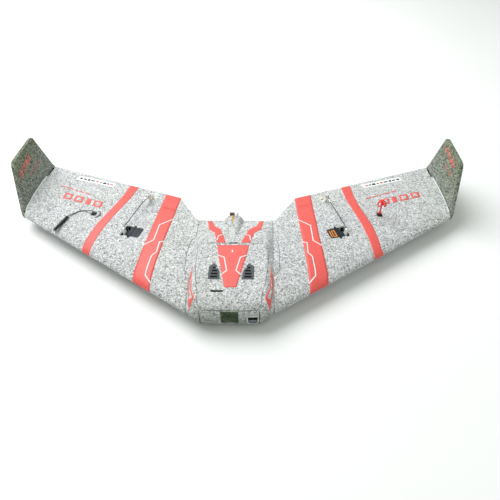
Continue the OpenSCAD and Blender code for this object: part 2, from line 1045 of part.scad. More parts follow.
module servo_arm() {
    color(WHITE)
        servo_frame()
            difference() {
                union() {
                    axle(-1.4, 2.2, 3.5);
                    rotate([90, 0, 90])
                        linear_extrude(2 + EPS)
                            hull() {
                                circle(r = 3, $fn = 32);
                                translate([0, horn_radius])
                                    circle(r = 2, $fn = 32);
                            }
                }
                axle(-3, 1.3, spline_r + 0.05);
                axle(-3, 3, 1.25);
                translate([0, 0, horn_radius])
                    axle(-3, 3, rod_r + 0.08);
                for (r = [6.6, 9.2, 11.4])
                    translate([0, 0, r])
                        axle(-3, 3, 0.5);
            }
}

module arm_screw() {
    color(STEEL)
        servo_frame()
            difference() {
                union() {
                    axle(2.25, 3.4, 2);
                    axle(-1.4, 2.3, 1.15);
                }
                rotate([20, 0, 0])
                    translate([2.9, -0.3, -2.5])
                        cube([1, 0.6, 5]);
            }
}

// Bent wire: a pin through the servo arm, then the straight run to the clevis
module pushrod() {
    color([0.2, 0.2, 0.21])
        servo_frame()
            translate([0, 0, horn_radius])
                union() {
                    axle(-1.6, rod_u, rod_r);
                    translate([rod_u, 0, 0])
                        sphere(r = rod_r, $fn = 24);
                    translate([rod_u, 0, 0])
                        shaft(0, rod_len - 12, rod_r);
                }
}

module rod_link() {
    fork = horn_t / 2 + 0.75;
    color(STEEL)
        servo_frame()
            translate([rod_u, 0, horn_radius])
                difference() {
                    union() {
                        shaft(rod_len - 18, rod_len - 9, 1.7);
                        translate([-fork - 0.7, rod_len - 10, -1.7])
                            cube([2 * fork + 1.4, 2, 3.4]);
                        for (u = [-fork - 0.7, fork])
                            translate([u, rod_len - 9, -1.7])
                                cube([0.7, 11, 3.4]);
                        translate([0, rod_len, 0])
                            axle(-fork - 0.7, fork + 0.7, 0.6);
                    }
                    shaft(rod_len - 19, rod_len - 11.9, rod_r);
                }
}

module servo_left() {
    servo();
}

module servo_right() {
    mirror([1, 0, 0])
        servo();
}

module servo_arm_left() {
    servo_arm();
}

module servo_arm_right() {
    mirror([1, 0, 0])
        servo_arm();
}

module arm_screw_left() {
    arm_screw();
}

module arm_screw_right() {
    mirror([1, 0, 0])
        arm_screw();
}

module pushrod_left() {
    pushrod();
}

module pushrod_right() {
    mirror([1, 0, 0])
        pushrod();
}

module rod_link_left() {
    rod_link();
}

module rod_link_right() {
    mirror([1, 0, 0])
        rod_link();
}

module horn_left() {
    horn();
}

module horn_right() {
    mirror([1, 0, 0])
        horn();
}

module horn_plate_left() {
    horn_plate();
}

module horn_plate_right() {
    mirror([1, 0, 0])
        horn_plate();
}

module horn_screws_left() {
    horn_screws();
}

module horn_screws_right() {
    mirror([1, 0, 0])
        horn_screws();
}

// ---- Aerials ----

socket_top = wing_z + 14.4;
module aerial_socket(side) {
    color(BLACK)
        translate([side * aerial_x, aerial_y, 0])
            difference() {
                union() {
                    translate([0, 0, wing_z])
                        cylinder(h = 12, r = 4.55);
                    translate([-4.4, -4.4, socket_top - 2.4])
                        cube([8.8, 8.8, 1.2]);
                    translate([0, 0, socket_top - 1.3])
                        cylinder(h = 1.3, r = 3.2);
                }
                if (side > 0)
                    translate([0, 0, wing_z + 4])
                        cylinder(h = 12, r = 2.2);
            }
}

module aerial_socket_left() {
    aerial_socket(1);
}

module aerial_socket_right() {
    aerial_socket(-1);
}

module aerial_lead() {
    color(BLACK)
        tube(lead_route, lead_r, lead_sides);
}

module aerial_stick() {
    color(BLACK)
        rod_between(stick_from, stick_to, stick_r);
}

module aerial_stem() {
    color(RED)
        translate([aerial_x, aerial_y, 0])
            union() {
                translate([0, 0, wing_z + 9])
                    cylinder(h = 10, r = 2.1);
                translate([0, 0, wing_z + 18.9])
                    cylinder(h = stem_h - 3, r = 1.3);
            }
}

module aerial_lobes() {
    color(RED)
        translate([aerial_x, aerial_y, wing_z + 14 + stem_h])
            difference() {
                union() {
                    translate([0, 0, -1.6])
                        cylinder(h = 8.6, r = 2.4);
                    for (a = [90, 210, 330])
                        rotate([0, 0, a])
                            translate([5, 0, 2.5])
                                rotate([0, 62, 0])
                                    rotate_extrude($fn = 40)
                                        translate([4.2, 0])
                                            circle(r = 1.1, $fn = 20);
                }
                translate([0, 0, -2])
                    cylinder(h = 5, r = 1.35);
            }
}

fuselage_shell();
hatch();
vent_left();
vent_right();
hatch_magnets();
bay_magnets();
wing_left();
wing_right();
elevon_left();
elevon_right();
winglet_left();
winglet_right();
joiner_front();
joiner_rear();
spar_left();
spar_right();
firewall();
motor_spine();
motor_base();
motor_screws();
motor_bell();
motor_shaft();
speed_controller();
flight_controller();
receiver();
video_transmitter();
nose_camera();
camera_lens();
battery();
battery_strap();
battery_plug();
servo_left();
servo_right();
servo_arm_left();
servo_arm_right();
arm_screw_left();
arm_screw_right();
pushrod_left();
pushrod_right();
rod_link_left();
rod_link_right();
horn_left();
horn_right();
horn_plate_left();
horn_plate_right();
horn_screws_left();
horn_screws_right();
aerial_socket_right();
aerial_lead();
aerial_stick();
aerial_socket_left();
aerial_stem();
aerial_lobes();
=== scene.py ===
"""Looks of the foam flying wing: foam skins, films, fittings, studio light and camera.

The shape functions work in millimetres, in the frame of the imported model: the nose points to -Y,
+X is the aircraft's left and +Z is up. Meshes are stored in metres.
"""

import json
import math
from collections import Counter

import bmesh
import bpy
import numpy as np
from mathutils import Matrix, Vector
from mathutils.geometry import delaunay_2d_cdt


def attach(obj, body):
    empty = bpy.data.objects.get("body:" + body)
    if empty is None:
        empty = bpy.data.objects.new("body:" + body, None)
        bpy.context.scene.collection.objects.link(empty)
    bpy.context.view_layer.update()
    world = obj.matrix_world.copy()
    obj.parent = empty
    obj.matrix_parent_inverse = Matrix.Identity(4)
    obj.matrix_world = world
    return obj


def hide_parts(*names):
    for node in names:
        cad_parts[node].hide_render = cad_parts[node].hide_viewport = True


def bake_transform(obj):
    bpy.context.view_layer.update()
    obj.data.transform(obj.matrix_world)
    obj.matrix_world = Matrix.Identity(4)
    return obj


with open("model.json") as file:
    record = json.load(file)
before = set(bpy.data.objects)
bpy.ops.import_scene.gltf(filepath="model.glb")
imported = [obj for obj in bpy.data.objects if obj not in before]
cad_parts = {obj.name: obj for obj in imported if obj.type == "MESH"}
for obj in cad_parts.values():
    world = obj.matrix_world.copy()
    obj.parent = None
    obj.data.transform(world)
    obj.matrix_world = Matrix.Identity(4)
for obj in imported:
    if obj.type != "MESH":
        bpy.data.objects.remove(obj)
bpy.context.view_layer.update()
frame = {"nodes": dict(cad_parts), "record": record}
NODES = frame["nodes"]
SCENE = bpy.context.scene
MM = 0.001
SIDES = (("left", 1), ("right", -1))


def linked(name, data):
    """A new object in the scene."""
    o = bpy.data.objects.new(name, data)
    SCENE.collection.objects.link(o)
    return o


# ---------------------------------------- camera

CAMERA_AT = (0.04968, -0.57822, 0.55463)
CAMERA_AZIMUTH, CAMERA_ELEVATION, CAMERA_ROLL = 0.5, 45.0, -0.098
CAMERA_LENS, CAMERA_SHIFT = 31.53, -0.0218


def add_camera():
    """The photograph's view, from in front and above."""
    az, el, roll = (math.radians(a) for a in (CAMERA_AZIMUTH, CAMERA_ELEVATION, CAMERA_ROLL))
    back = Vector((math.sin(az) * math.cos(el), -math.cos(az) * math.cos(el), math.sin(el)))
    level = Vector((math.cos(az), math.sin(az), 0))
    up = back.cross(level)
    right = math.cos(roll) * level + math.sin(roll) * up
    up = math.cos(roll) * up - math.sin(roll) * level
    data = bpy.data.cameras.new("camera")
    data.sensor_width = 36
    data.lens = CAMERA_LENS
    data.shift_x = CAMERA_SHIFT
    data.clip_start, data.clip_end = 0.01, 50
    camera = linked("camera", data)
    camera.matrix_world = Matrix(
        [(right[i], up[i], back[i], CAMERA_AT[i]) for i in range(3)] + [(0, 0, 0, 1)]
    )
    SCENE.camera = camera


add_camera()


# ---------------------------------------- aircraft's shape, as in the CAD model

WING_Z = 28.0
SEAM_X = 66.0
TIP_X = 390.0
NOSE_Y, TAIL_Y = -196.8, 17.0
LEAD_Y0, LEAD_SLOPE = -229.6, 0.667
TRAIL_Y0, TRAIL_SLOPE = 46.3, 0.378
ELEVON_CHORD = 38.5
HINGE_Y0 = TRAIL_Y0 - ELEVON_CHORD
HINGE_END_X = 387.0
HINGE_Z = 33.3
HINGE_NORM = math.hypot(1, TRAIL_SLOPE)
PLATEAU_H, DECK_H, DECK_START, KEEL_START = 26.0, 6.0, -64.0, -50.0
CANT = math.radians(9)
POD_LEAN = 3.5
SERVO_AT = (190.5, -21.5, HINGE_Z)
SERVO_TURN = math.radians(16)


def share(v):
    return np.clip(v, 0, 1)


def lead_y(x):
    return LEAD_Y0 + LEAD_SLOPE * np.abs(x)


def trail_y(x):
    return TRAIL_Y0 + TRAIL_SLOPE * np.abs(x)


def hinge_y(x):
    return HINGE_Y0 + TRAIL_SLOPE * np.abs(x)


def half_t(f):
    """Half thickness of the wing section at a share f of the chord, as a share of the chord."""
    shape = 0.2969 * np.sqrt(f) - 0.126 * f - 0.3516 * f**2 + 0.2843 * f**3 - 0.1036 * f**4
    return 0.5 * shape + 0.005 * f


def wing_z(x, y, up=True):
    chord = trail_y(x) - lead_y(x)
    depth = chord * half_t(share((y - lead_y(x)) / chord))
    return WING_Z + (1.15 if up else -0.85) * depth


def nose_line(x):
    x = np.abs(x)
    return NOSE_Y + 1.5 * (x / 46) ** 2 + 9.3 * share((x - 42) / 24) ** 2.2


def body_top(x, y):
    front = share((nose_line(x) + 40 - y) / 40)
    aft = share((y - DECK_START) / (TAIL_Y - DECK_START)) ** 1.3
    plateau = (PLATEAU_H - (PLATEAU_H - DECK_H) * aft) * (1 - front**2.5) ** 0.4
    root = wing_z(SEAM_X, y) - WING_Z
    return WING_Z + root + (plateau - root) * (1 - share((np.abs(x) - 52) / (SEAM_X - 52)) ** 1.6)


def pod_top(x, y):
    s = share((y + 66) / (TAIL_Y + 66))
    half_width = 7 + 10.5 * s**0.8
    inside = share(1 - (np.abs(x + POD_LEAN * s) / half_width) ** 2.5)
    return np.where((inside > 0) & (y > -66), WING_Z + (26 - 7 * s) * inside**0.4, 0)


def top_z(x, y):
    """Height of the aircraft's upper surface over a point of the plan."""
    x, y = np.asarray(x, float), np.asarray(y, float)
    return np.where(np.abs(x) > SEAM_X, wing_z(x, y), np.maximum(body_top(x, y), pod_top(x, y)))


# ---------------------------------------- node trees


class Look:
    """A Principled material and short ways to wire nodes into it."""

    def __init__(self, name, **sockets):
        self.material = bpy.data.materials.new(name)
        self.material.use_nodes = True
        self.tree = self.material.node_tree
        self.tree.nodes.clear()
        out = self.tree.nodes.new("ShaderNodeOutputMaterial")
        self.shader = self.tree.nodes.new("ShaderNodeBsdfPrincipled")
        self.tree.links.new(self.shader.outputs[0], out.inputs[0])
        self.place = self.tree.nodes.new("ShaderNodeTexCoord").outputs["Object"]
        for socket, value in sockets.items():
            self.set(socket.replace("_", " "), value)

    def set(self, socket, value):
        target = self.shader.inputs[socket]
        if isinstance(value, bpy.types.NodeSocket):
            self.tree.links.new(value, target)
        elif isinstance(value, (tuple, list)) and len(value) == 3:
            target.default_value = (*value, 1)
        else:
            target.default_value = value

    def node(self, kind, inputs=None, out=0, **settings):
        n = self.tree.nodes.new(kind)
        for key, value in settings.items():
            setattr(n, key, value)
        for key, value in (inputs or {}).items():
            if isinstance(value, bpy.types.NodeSocket):
                self.tree.links.new(value, n.inputs[key])
            else:
                n.inputs[key].default_value = value
        return n.outputs[out]

    def stretched(self, scale):
        return self.node("ShaderNodeMapping", {"Vector": self.place, "Scale": scale})

    def noise(self, size, detail=2.0, rough=0.5, at=None):
        """Noise whose features are size millimetres across."""
        return self.node(
            "ShaderNodeTexNoise",
            {"Vector": at or self.place, "Scale": 1000 / size, "Detail": detail, "Roughness": rough},
        )

    def cells(self, size, feature="F1", out="Color"):
        """Cells that are size millimetres across."""
        return self.node(
            "ShaderNodeTexVoronoi", {"Vector": self.place, "Scale": 1000 / size}, out, feature=feature
        )

    def math(self, operation, a, b=0.0, clamp=False):
        return self.node("ShaderNodeMath", {0: a, 1: b}, operation=operation, use_clamp=clamp)

    def ramp(self, value, *stops):
        """stops are (position, grey or colour)."""
        n = self.tree.nodes.new("ShaderNodeValToRGB")
        self.tree.links.new(value, n.inputs[0])
        points = n.color_ramp.elements
        while len(points) < len(stops):
            points.new(0.5)
        for point, (position, colour) in zip(points, stops):
            point.position = position
            point.color = (*((colour,) * 3 if isinstance(colour, float) else colour), 1)
        return n.outputs[0]

    def mix(self, amount, a, b, blend="MIX"):
        n = self.tree.nodes.new("ShaderNodeMix")
        n.data_type, n.blend_type = "RGBA", blend
        for key, value in ((0, amount), (6, a), (7, b)):
            if isinstance(value, bpy.types.NodeSocket):
                self.tree.links.new(value, n.inputs[key])
            elif isinstance(value, (tuple, list)):
                n.inputs[key].default_value = (*value, 1)
            else:
                n.inputs[key].default_value = value
        return n.outputs[2]

    def bump(self, height, depth, strength=1.0):
        """Bump from a 0 to 1 height, depth millimetres deep."""
        self.set(
            "Normal",
            self.node("ShaderNodeBump", {"Height": height, "Distance": depth * MM, "Strength": strength}),
        )


BEAD = 1.65  # mm, size of the foam's beads
# Share of the beads against their tone, on the grey foam and on the darker winglets.
BEAD_TONES = ((0.0, 0.18), (0.12, 0.32), (0.3, 0.49), (0.5, 0.59), (0.75, 0.68), (0.9, 0.80), (1.0, 0.89))
TIP_TONES = ((0.0, 0.05), (0.15, 0.18), (0.35, 0.41), (0.5, 0.56), (0.7, 0.73), (0.85, 0.92), (1.0, 1.0))


def bead_relief(look):
    """Height of the foam's skin: a shallow crease round each bead and a fine grain."""
    edge = look.cells(BEAD, "DISTANCE_TO_EDGE", "Distance")
    crease = look.math("MULTIPLY", edge, 6.0, clamp=True)
    grain = look.math("MULTIPLY", look.noise(0.45, 3.0, 0.6), 0.5)
    return crease, look.math("ADD", crease, grain)


def rise(look, axis, start, end):
    """0 at start to 1 at end, in metres along an axis."""
    at = look.node("ShaderNodeSeparateXYZ", {0: look.place}, "XYZ".index(axis))
    return look.node("ShaderNodeMapRange", {0: at, 1: start, 2: end, 3: 0.0, 4: 1.0})


def nose_painted_shade(look):
    """A share of painted shade with a green tint, low on the front of the nose."""
    front, low = rise(look, "Y", -0.170, -0.190), rise(look, "Z", 0.050, 0.024)
    uneven = look.ramp(look.noise(11, 3.0), (0.3, 0.30), (0.7, 0.64))
    return look.math("MULTIPLY", look.math("MULTIPLY", front, low), uneven)


def foam_look(name, shade=(1.0, 1.0, 1.0), top_shade=None, tones=BEAD_TONES):
    """Expanded foam: every bead has a tone of its own, with a shallow crease round it.

    The winglets darken from shade at the wing to top_shade at their tips: painted shade with a painted green
    reflection.
    """
    look = Look(name, Roughness=0.82, Specular_IOR_Level=0.28)
    bead = look.node("ShaderNodeSeparateColor", {0: look.cells(BEAD)})
    tone = look.ramp(bead, *tones)
    patches = look.ramp(look.noise(16, 3.0), (0.3, 0.92), (0.7, 1.07))
    toned = look.mix(1.0, tone, patches, "MULTIPLY")
    crease, height = bead_relief(look)
    # Darker along the crease round each bead: painted shade.
    dark = look.ramp(crease, (0.0, 0.76), (0.5, 1.0))
    speckled = look.mix(1.0, toned, dark, "MULTIPLY")
    tint = look.ramp(look.noise(90, 1.0), (0.35, (0.985, 1.0, 0.985)), (0.65, (0.985, 1.0, 1.02)))
    tinted = look.mix(1.0, speckled, tint, "MULTIPLY")
    if top_shade:
        shade = look.mix(rise(look, "Z", 0.035, 0.100), shade, top_shade)
    shaded = look.mix(1.0, tinted, shade, "MULTIPLY")
    # The lower front of the nose is mixed towards dark green: painted shade with a green tint.
    look.set("Base Color", look.mix(nose_painted_shade(look), shaded, (0.05, 0.075, 0.035)))
    look.bump(height, 0.16, 0.85)
    return look.material


def film_look(name, colour, rough=0.42):
    """Thin printed film that lets the beads under it show through a little."""
    look = Look(name, Roughness=rough, Specular_IOR_Level=0.35)
    crease, height = bead_relief(look)
    bead = look.node("ShaderNodeSeparateColor", {0: look.cells(BEAD)})
    ghost = look.ramp(bead, (0.0, 0.9), (0.5, 1.0), (1.0, 1.05))
    wear = look.ramp(look.noise(7, 4.0), (0.25, 0.96), (0.7, 1.03))
    worn = look.mix(1.0, ghost, wear, "MULTIPLY")
    # Darker along the creases of the beads under the film: painted shade.
    tone = look.mix(1.0, worn, look.ramp(crease, (0, 0.9), (0.4, 1.0)), "MULTIPLY")
    look.set("Base Color", look.mix(1.0, colour, tone, "MULTIPLY"))
    look.bump(height, 0.07, 0.6)
    return look.material


def plastic_look(name, colour, rough=0.4, grain=0.6, depth=0.02, sheen=0.4):
    look = Look(name, Specular_IOR_Level=sheen)
    fine = look.noise(grain, 4.0, 0.65)
    broad = look.noise(9, 2.0)
    look.set("Base Color", look.mix(1.0, colour, look.ramp(broad, (0.3, 0.88), (0.7, 1.12)), "MULTIPLY"))
    look.set("Roughness", look.ramp(look.noise(3, 3.0), (0.3, rough * 0.85), (0.7, min(1.0, rough * 1.2))))
    look.bump(fine, depth)
    return look.material


def metal_look(name, colour, rough=0.3, along=(1.0, 1.0, 1.0), metallic=1.0):
    """Metal with fine tool marks. The marks run along the axis whose scale is small."""
    look = Look(name, Metallic=metallic)
    marks = look.noise(0.35, 3.0, 0.6, at=look.stretched(along))
    stain = look.noise(5, 3.0)
    look.set("Base Color", look.mix(1.0, colour, look.ramp(stain, (0.3, 0.82), (0.7, 1.08)), "MULTIPLY"))
    look.set("Roughness", look.ramp(marks, (0.3, rough * 0.75), (0.7, min(1.0, rough * 1.35))))
    look.bump(marks, 0.008)
    return look.material


def ply_look(name, shade=(1.0, 1.0, 1.0)):
    look = Look(name, Roughness=0.62, Specular_IOR_Level=0.3)
    grain = look.noise(1.2, 5.0, 0.6, at=look.stretched((1.0, 1.0, 0.08)))
    wood = look.ramp(grain, (0.25, (0.50, 0.22, 0.06)), (0.5, (0.72, 0.37, 0.12)), (0.8, (0.86, 0.52, 0.2)))
    layers = look.node(
        "ShaderNodeTexWave", {"Vector": look.place, "Scale": 420.0, "Distortion": 0.6}, bands_direction="Y"
    )
    layered = look.mix(0.35, wood, look.ramp(layers, (0.3, 0.35), (0.7, 1.0)), "MULTIPLY")
    look.set("Base Color", look.mix(1.0, layered, shade, "MULTIPLY"))
    look.bump(grain, 0.05)
    return look.material


def carbon_look():
    look = Look("carbon_rod", Roughness=0.32, Specular_IOR_Level=0.5)
    fibre = look.noise(0.5, 4.0, 0.6, at=look.stretched((0.05, 0.6, 1.0)))
    look.set("Base Color", look.ramp(fibre, (0.3, 0.012), (0.75, 0.06)))
    look.bump(fibre, 0.01)
    return look.material


def strap_look():
    look = Look("woven_strap", Roughness=0.85, Specular_IOR_Level=0.2)
    across = look.node("ShaderNodeTexWave", {"Vector": look.place, "Scale": 330.0}, bands_direction="X")
    along = look.node("ShaderNodeTexWave", {"Vector": look.place, "Scale": 330.0}, bands_direction="Y")
    weave = look.math("MULTIPLY", across, along)
    look.set("Base Color", look.ramp(weave, (0.1, 0.012), (0.8, 0.06)))
    look.bump(weave, 0.15)
    return look.material


def board_look():
    look = Look("circuit_board", Roughness=0.35, Specular_IOR_Level=0.5)
    tracks = look.node(
        "ShaderNodeTexBrick",
        {
            "Vector": look.place,
            "Scale": 260.0,
            "Color1": (0.02, 0.12, 0.05, 1),
            "Color2": (0.03, 0.16, 0.07, 1),
            "Mortar": (0.10, 0.28, 0.12, 1),
            "Mortar Size": 0.03,
        },
    )
    pads = look.ramp(look.cells(1.6, out="Distance"), (0.12, 1.0), (0.16, 0.0))
    look.set("Base Color", look.mix(pads, tracks, (0.55, 0.5, 0.35)))
    look.bump(pads, 0.03)
    return look.material


def glass_look():
    look = Look("lens_glass", Roughness=0.04, IOR=1.5, Transmission_Weight=0.55, Coat_Weight=0.6)
    haze = look.noise(2.0, 2.0)
    look.set("Base Color", look.ramp(haze, (0.3, (0.05, 0.07, 0.13)), (0.7, (0.09, 0.11, 0.2))))
    return look.material


def glue_look():
    look = Look("hot_glue", Roughness=0.28, Specular_IOR_Level=0.5, Subsurface_Weight=0.25)
    cloud = look.ramp(look.noise(4, 3.0), (0.3, (0.86, 0.86, 0.85)), (0.7, (0.96, 0.96, 0.95)))
    look.set("Base Color", cloud)
    look.bump(look.noise(2.2, 3.0), 0.25)
    return look.material


FOAM = foam_look("foam_beads")
# The winglets' foam: a darker, greener copy of the foam that darkens further towards the tips, painted shade
# with a painted green reflection.
TIP_FOAM_PAINTED_SHADE = foam_look("foam_beads_tip_painted_shade", (0.52, 0.545, 0.49), (0.35, 0.395, 0.28), TIP_TONES)
# A darker, greener copy of the foam for the nose recess: painted shade with a painted green reflection.
SHADED_FOAM = foam_look("foam_beads_shaded", (0.60, 0.74, 0.53))
# Black for the dark sheets in the servo pockets, notch, slots, vents and elevon gaps, which are painted
# shade, and for the servo's seams.
BLACK_SHADE_AND_SEAM = plastic_look("black_shade_and_seam", (0.012, 0.012, 0.014), 0.7, sheen=0.15)
SMOKED_SHIELD = plastic_look("smoked_shield", (0.15, 0.165, 0.19), 0.12, sheen=0.6)
COAX_GREY = plastic_look("coax_grey", (0.095, 0.095, 0.10), 0.4)
ARM_WHITE = plastic_look("arm_white", (0.93, 0.93, 0.90), 0.35)
PALE_TRIM = plastic_look("pale_trim", (0.72, 0.76, 0.74), 0.3, sheen=0.5)
STICKER_BROWN = plastic_look("sticker_brown", (0.05, 0.022, 0.012), 0.4)
STICKER_ORANGE = plastic_look("sticker_orange", (0.75, 0.26, 0.05), 0.4)
RED_FILM = film_look("red_film", (0.81, 0.120, 0.104))
WHITE_FILM = film_look("white_film", (0.86, 0.87, 0.88), 0.5)
# Dark ink for the labels' bars, also used for the painted shade line down the nose's creases.
DARK_PRINT_AND_SHADE_FILM = film_look("dark_print_and_shade_film", (0.03, 0.032, 0.036), 0.5)
GLUE = glue_look()
BURNT_PLY = ply_look("burnt_ply", (0.22, 0.42, 1.0))
LOOKS = {
    "vent_plastic": plastic_look("vent_plastic", (0.075, 0.08, 0.09), 0.55, sheen=0.3),
    "magnet_metal": metal_look("nickel", (0.62, 0.62, 0.64), 0.22),
    "carbon_tube": carbon_look(),
    "plywood": ply_look("birch_ply"),
    "motor_dark": metal_look("motor_black", (0.035, 0.035, 0.04), 0.4, metallic=0.6),
    "motor_bell_metal": metal_look("motor_grey", (0.16, 0.165, 0.18), 0.34, (1.0, 0.05, 1.0)),
    "steel_parts": metal_look("bright_steel", (0.55, 0.55, 0.56), 0.28),
    "circuit_board": board_look(),
    "receiver_case": plastic_look("receiver_case", (0.55, 0.58, 0.62), 0.3),
    "heat_sink": metal_look("heat_sink", (0.5, 0.51, 0.53), 0.4, (1.0, 0.05, 1.0)),
    "camera_body": plastic_look("camera_body", (0.02, 0.02, 0.023), 0.5),
    "lens_glass": glass_look(),
    "battery_wrap": plastic_look("battery_wrap", (0.035, 0.09, 0.32), 0.25, 1.5, 0.05, 0.5),
    "strap_fabric": strap_look(),
    "plug_plastic": plastic_look("plug_plastic", (0.80, 0.50, 0.03), 0.45),
    "servo_case": plastic_look("servo_case", (0.014, 0.018, 0.027), 0.5, 0.5, 0.015, 0.3),
    "white_plastic": plastic_look("white_plastic", (0.86, 0.84, 0.76), 0.4),
    "rod_wire": metal_look("rod_wire", (0.09, 0.09, 0.095), 0.35),
    "aerial_plastic": plastic_look("aerial_plastic", (0.016, 0.016, 0.018), 0.42),
    "aerial_red": plastic_look("aerial_red", (0.84, 0.03, 0.026), 0.3, 0.5, 0.015, 0.5),
}


# ---------------------------------------- cords

LEAD_ROUTE = [
    (-258.5, 28, 42.4), (-258.5, 28, 44.4), (-259.8, 28.3, 46), (-262.6, 29.2, 46.4), (-265.8, 30.6, 45.2),
    (-269, 32.2, 43.2), (-272.6, 33.8, 41.6), (-276.4, 35.1, 40.7), (-280.5, 35.6, 40.4),
    (-284.3, 34.9, 40.3), (-287.8, 33.2, 40.3), (-291, 30.7, 40.4), (-294, 27.8, 40.6),
    (-296.8, 24.8, 40.9), (-299.4, 21.6, 41.3), (-302.4, 17.3, 41.8),
]


def smooth_route(points, n=5):
    """A Catmull-Rom line through the points."""
    p = np.array([points[0], *points, points[-1]], float)
    route = []
    for k in range(1, len(p) - 2):
        a, b, c, d = p[k - 1 : k + 3]
        for t in np.arange(n) / n:
            square, cube = 2 * a - 5 * b + 4 * c - d, 3 * b - a - 3 * c + d
            route.append(0.5 * (2 * b + (c - a) * t + square * t**2 + cube * t**3))
    return np.array([*route, p[-1]])


def wire(name, points, radius, material, slot, **cord):
    """A round wire along the points, in millimetres."""
    route = smooth_route(points)
    data = bpy.data.curves.new(name, "CURVE")
    data.dimensions, data.use_fill_caps = "3D", True
    data.bevel_depth, data.bevel_resolution = radius * MM, 4
    spline = data.splines.new("POLY")
    spline.points.add(len(route) - 1)
    for point, p in zip(spline.points, route):
        point.co = (*(p * MM), 1)
    data.materials.append(material)
    o = linked(name, data)
    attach(o, "airframe")
    return o


coax = wire("aerial_coax", LEAD_ROUTE, 0.8, COAX_GREY, "aerial_plastic", far_end="fitting",
            with_pieces=[NODES["aerial_stick"]])
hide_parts("aerial_lead")
wire("aerial_slack", [
    (-256, 30.4, 36.6), (-254.4, 32.2, 37.8), (-252.4, 33.5, 39.2), (-250, 33.2, 40.0), (-247.9, 31, 40.2),
    (-246.7, 27.6, 40.3), (-246.9, 23.8, 40.4), (-248.6, 20.4, 40.5), (-251.2, 18, 40.2), (-254, 16.6, 39.2),
    (-256.6, 15.8, 37.8),
], 0.7, LOOKS["aerial_plastic"], "aerial_plastic", far_end="object")
for k, slot in enumerate(("aerial_red", "aerial_plastic")):
    d = 3.2 * k
    wire(f"battery_lead_{k}", [
        (-9 - d, -84, 31.0), (-8.2 - d, -83.2, 33.8), (-5 - d, -81, 36.4),
        (-0.4 - 0.6 * d, -78.8 - 0.6 * d, 37.4 - 0.5 * d), (5, -77.8 - d, 36.6 - d),
        (12, -79.4 - d, 33.4 - d), (18.4, -83 - 0.8 * d, 29.6 - d), (24, -86.8 - 0.3 * d, 26.2 - d),
        (28.8, -87.6, 23.6 - d), (32.2, -85.6, 21.8 - d), (33.4, -82.6, 21 - d),
    ], 1.3, LOOKS[slot], slot, far_end="object")
wire("camera_cable", [
    (34.3, -168.9, 25.7), (34.2, -164, 26.4), (31.5, -158.6, 25), (27.6, -151, 19.4), (23, -142, 16.8),
    (20.4, -135, 14.8), (20, -129.9, 13.6),
], 0.8, LOOKS["plug_plastic"], "plug_plastic", far_end="object")
wire("servo_lead", [
    (22, -99, 17.0), (22, -99.2, 22), (25.4, -103, 28.4), (31, -107, 31.4), (37, -104.6, 30.6),
    (42.2, -98, 27),
], 1.0, LOOKS["rod_wire"], "aerial_plastic", far_end="object")


# ---------------------------------------- mesh helpers


def mesh_object(name, points, faces, material, body, replaces=(), smooth=True):
    """A piece from points in millimetres, with its faces turned outwards."""
    mesh = bpy.data.meshes.new(name)
    mesh.from_pydata([tuple(p) for p in np.asarray(points, float) * MM], [], [tuple(f) for f in faces])
    work = bmesh.new()
    work.from_mesh(mesh)
    bmesh.ops.recalc_face_normals(work, faces=work.faces)
    work.to_mesh(mesh)
    work.free()
    return piece(name, mesh, material, body, replaces, smooth)


def piece(name, mesh, material, body, replaces=(), smooth=True):
    mesh.materials.clear()
    mesh.materials.append(material)
    mesh.polygons.foreach_set("use_smooth", [smooth] * len(mesh.polygons))
    o = linked(name, mesh)
    if body:
        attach(o, body)
    if replaces:
        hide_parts(*replaces)
    return o


def shell(grid, thick):
    """Points and faces of a closed skin over a grid of points: raised thick[0], sunk thick[1]."""
    grid = np.asarray(grid, float)
    rows, cols = grid.shape[:2]
    along = np.gradient(grid, axis=0)
    across = np.gradient(grid, axis=1)
    normal = np.cross(across, along)
    normal /= np.linalg.norm(normal, axis=2, keepdims=True) + 1e-12
    if normal[..., 2].mean() < 0:
        normal = -normal
    upper = (grid + normal * thick[0]).reshape(-1, 3)
    lower = (grid - normal * thick[1]).reshape(-1, 3)
    n = rows * cols
    faces = []
    for i in range(rows - 1):
        for j in range(cols - 1):
            a, b, c, d = i * cols + j, i * cols + j + 1, (i + 1) * cols + j + 1, (i + 1) * cols + j
            faces += [(a, b, c, d), (n + d, n + c, n + b, n + a)]
    rim = (
        list(range(cols))
        + [i * cols + cols - 1 for i in range(1, rows)]
        + [(rows - 1) * cols + j for j in range(cols - 2, -1, -1)]
        + [i * cols for i in range(rows - 2, 0, -1)]
    )
    faces += [(a, b, n + b, n + a) for a, b in zip(rim, rim[1:] + rim[:1])]
    return np.vstack([upper, lower]), faces


def tube_faces(rings, n):
    """Faces of a tube of rings of n points each, with both its ends closed."""
    faces = []
    for i in range(rings - 1):
        for k in range(n):
            nxt = (k + 1) % n
            faces.append((i * n + k, i * n + nxt, (i + 1) * n + nxt, (i + 1) * n + k))
    return faces + [tuple(range(n)), tuple(range((rings - 1) * n, rings * n))]


def mirrored(points):
    return [(-p[0], *p[1:]) for p in points]


def resampled(outline, step):
    """The closed outline with points no further than step apart."""
    points = []
    for a, b in zip(outline, outline[1:] + outline[:1]):
        a, b = np.array(a, float), np.array(b, float)
        n = max(1, math.ceil(np.linalg.norm(b - a) / step))
        points += [a + (b - a) * k / n for k in range(n)]
    return np.array(points)


def inside(points, outline):
    """True where a point of the plan is inside the outline."""
    x, y = points[:, 0], points[:, 1]
    hit = np.zeros(len(points), bool)
    for (ax, ay), (bx, by) in zip(outline, np.roll(outline, -1, axis=0)):
        crosses = (ay > y) != (by > y)
        with np.errstate(divide="ignore", invalid="ignore"):
            hit ^= crosses & (x < (bx - ax) * (y - ay) / (by - ay) + ax)
    return hit


def away(points, outline, gap):
    """True where a point is further than gap from the outline's own points."""
    return np.array([np.min(np.hypot(*(outline - p).T)) > gap for p in points], bool)


FILM_LIFT, FILM_SINK = 0.16, 0.25  # mm, a film's two faces above and below the foam's surface


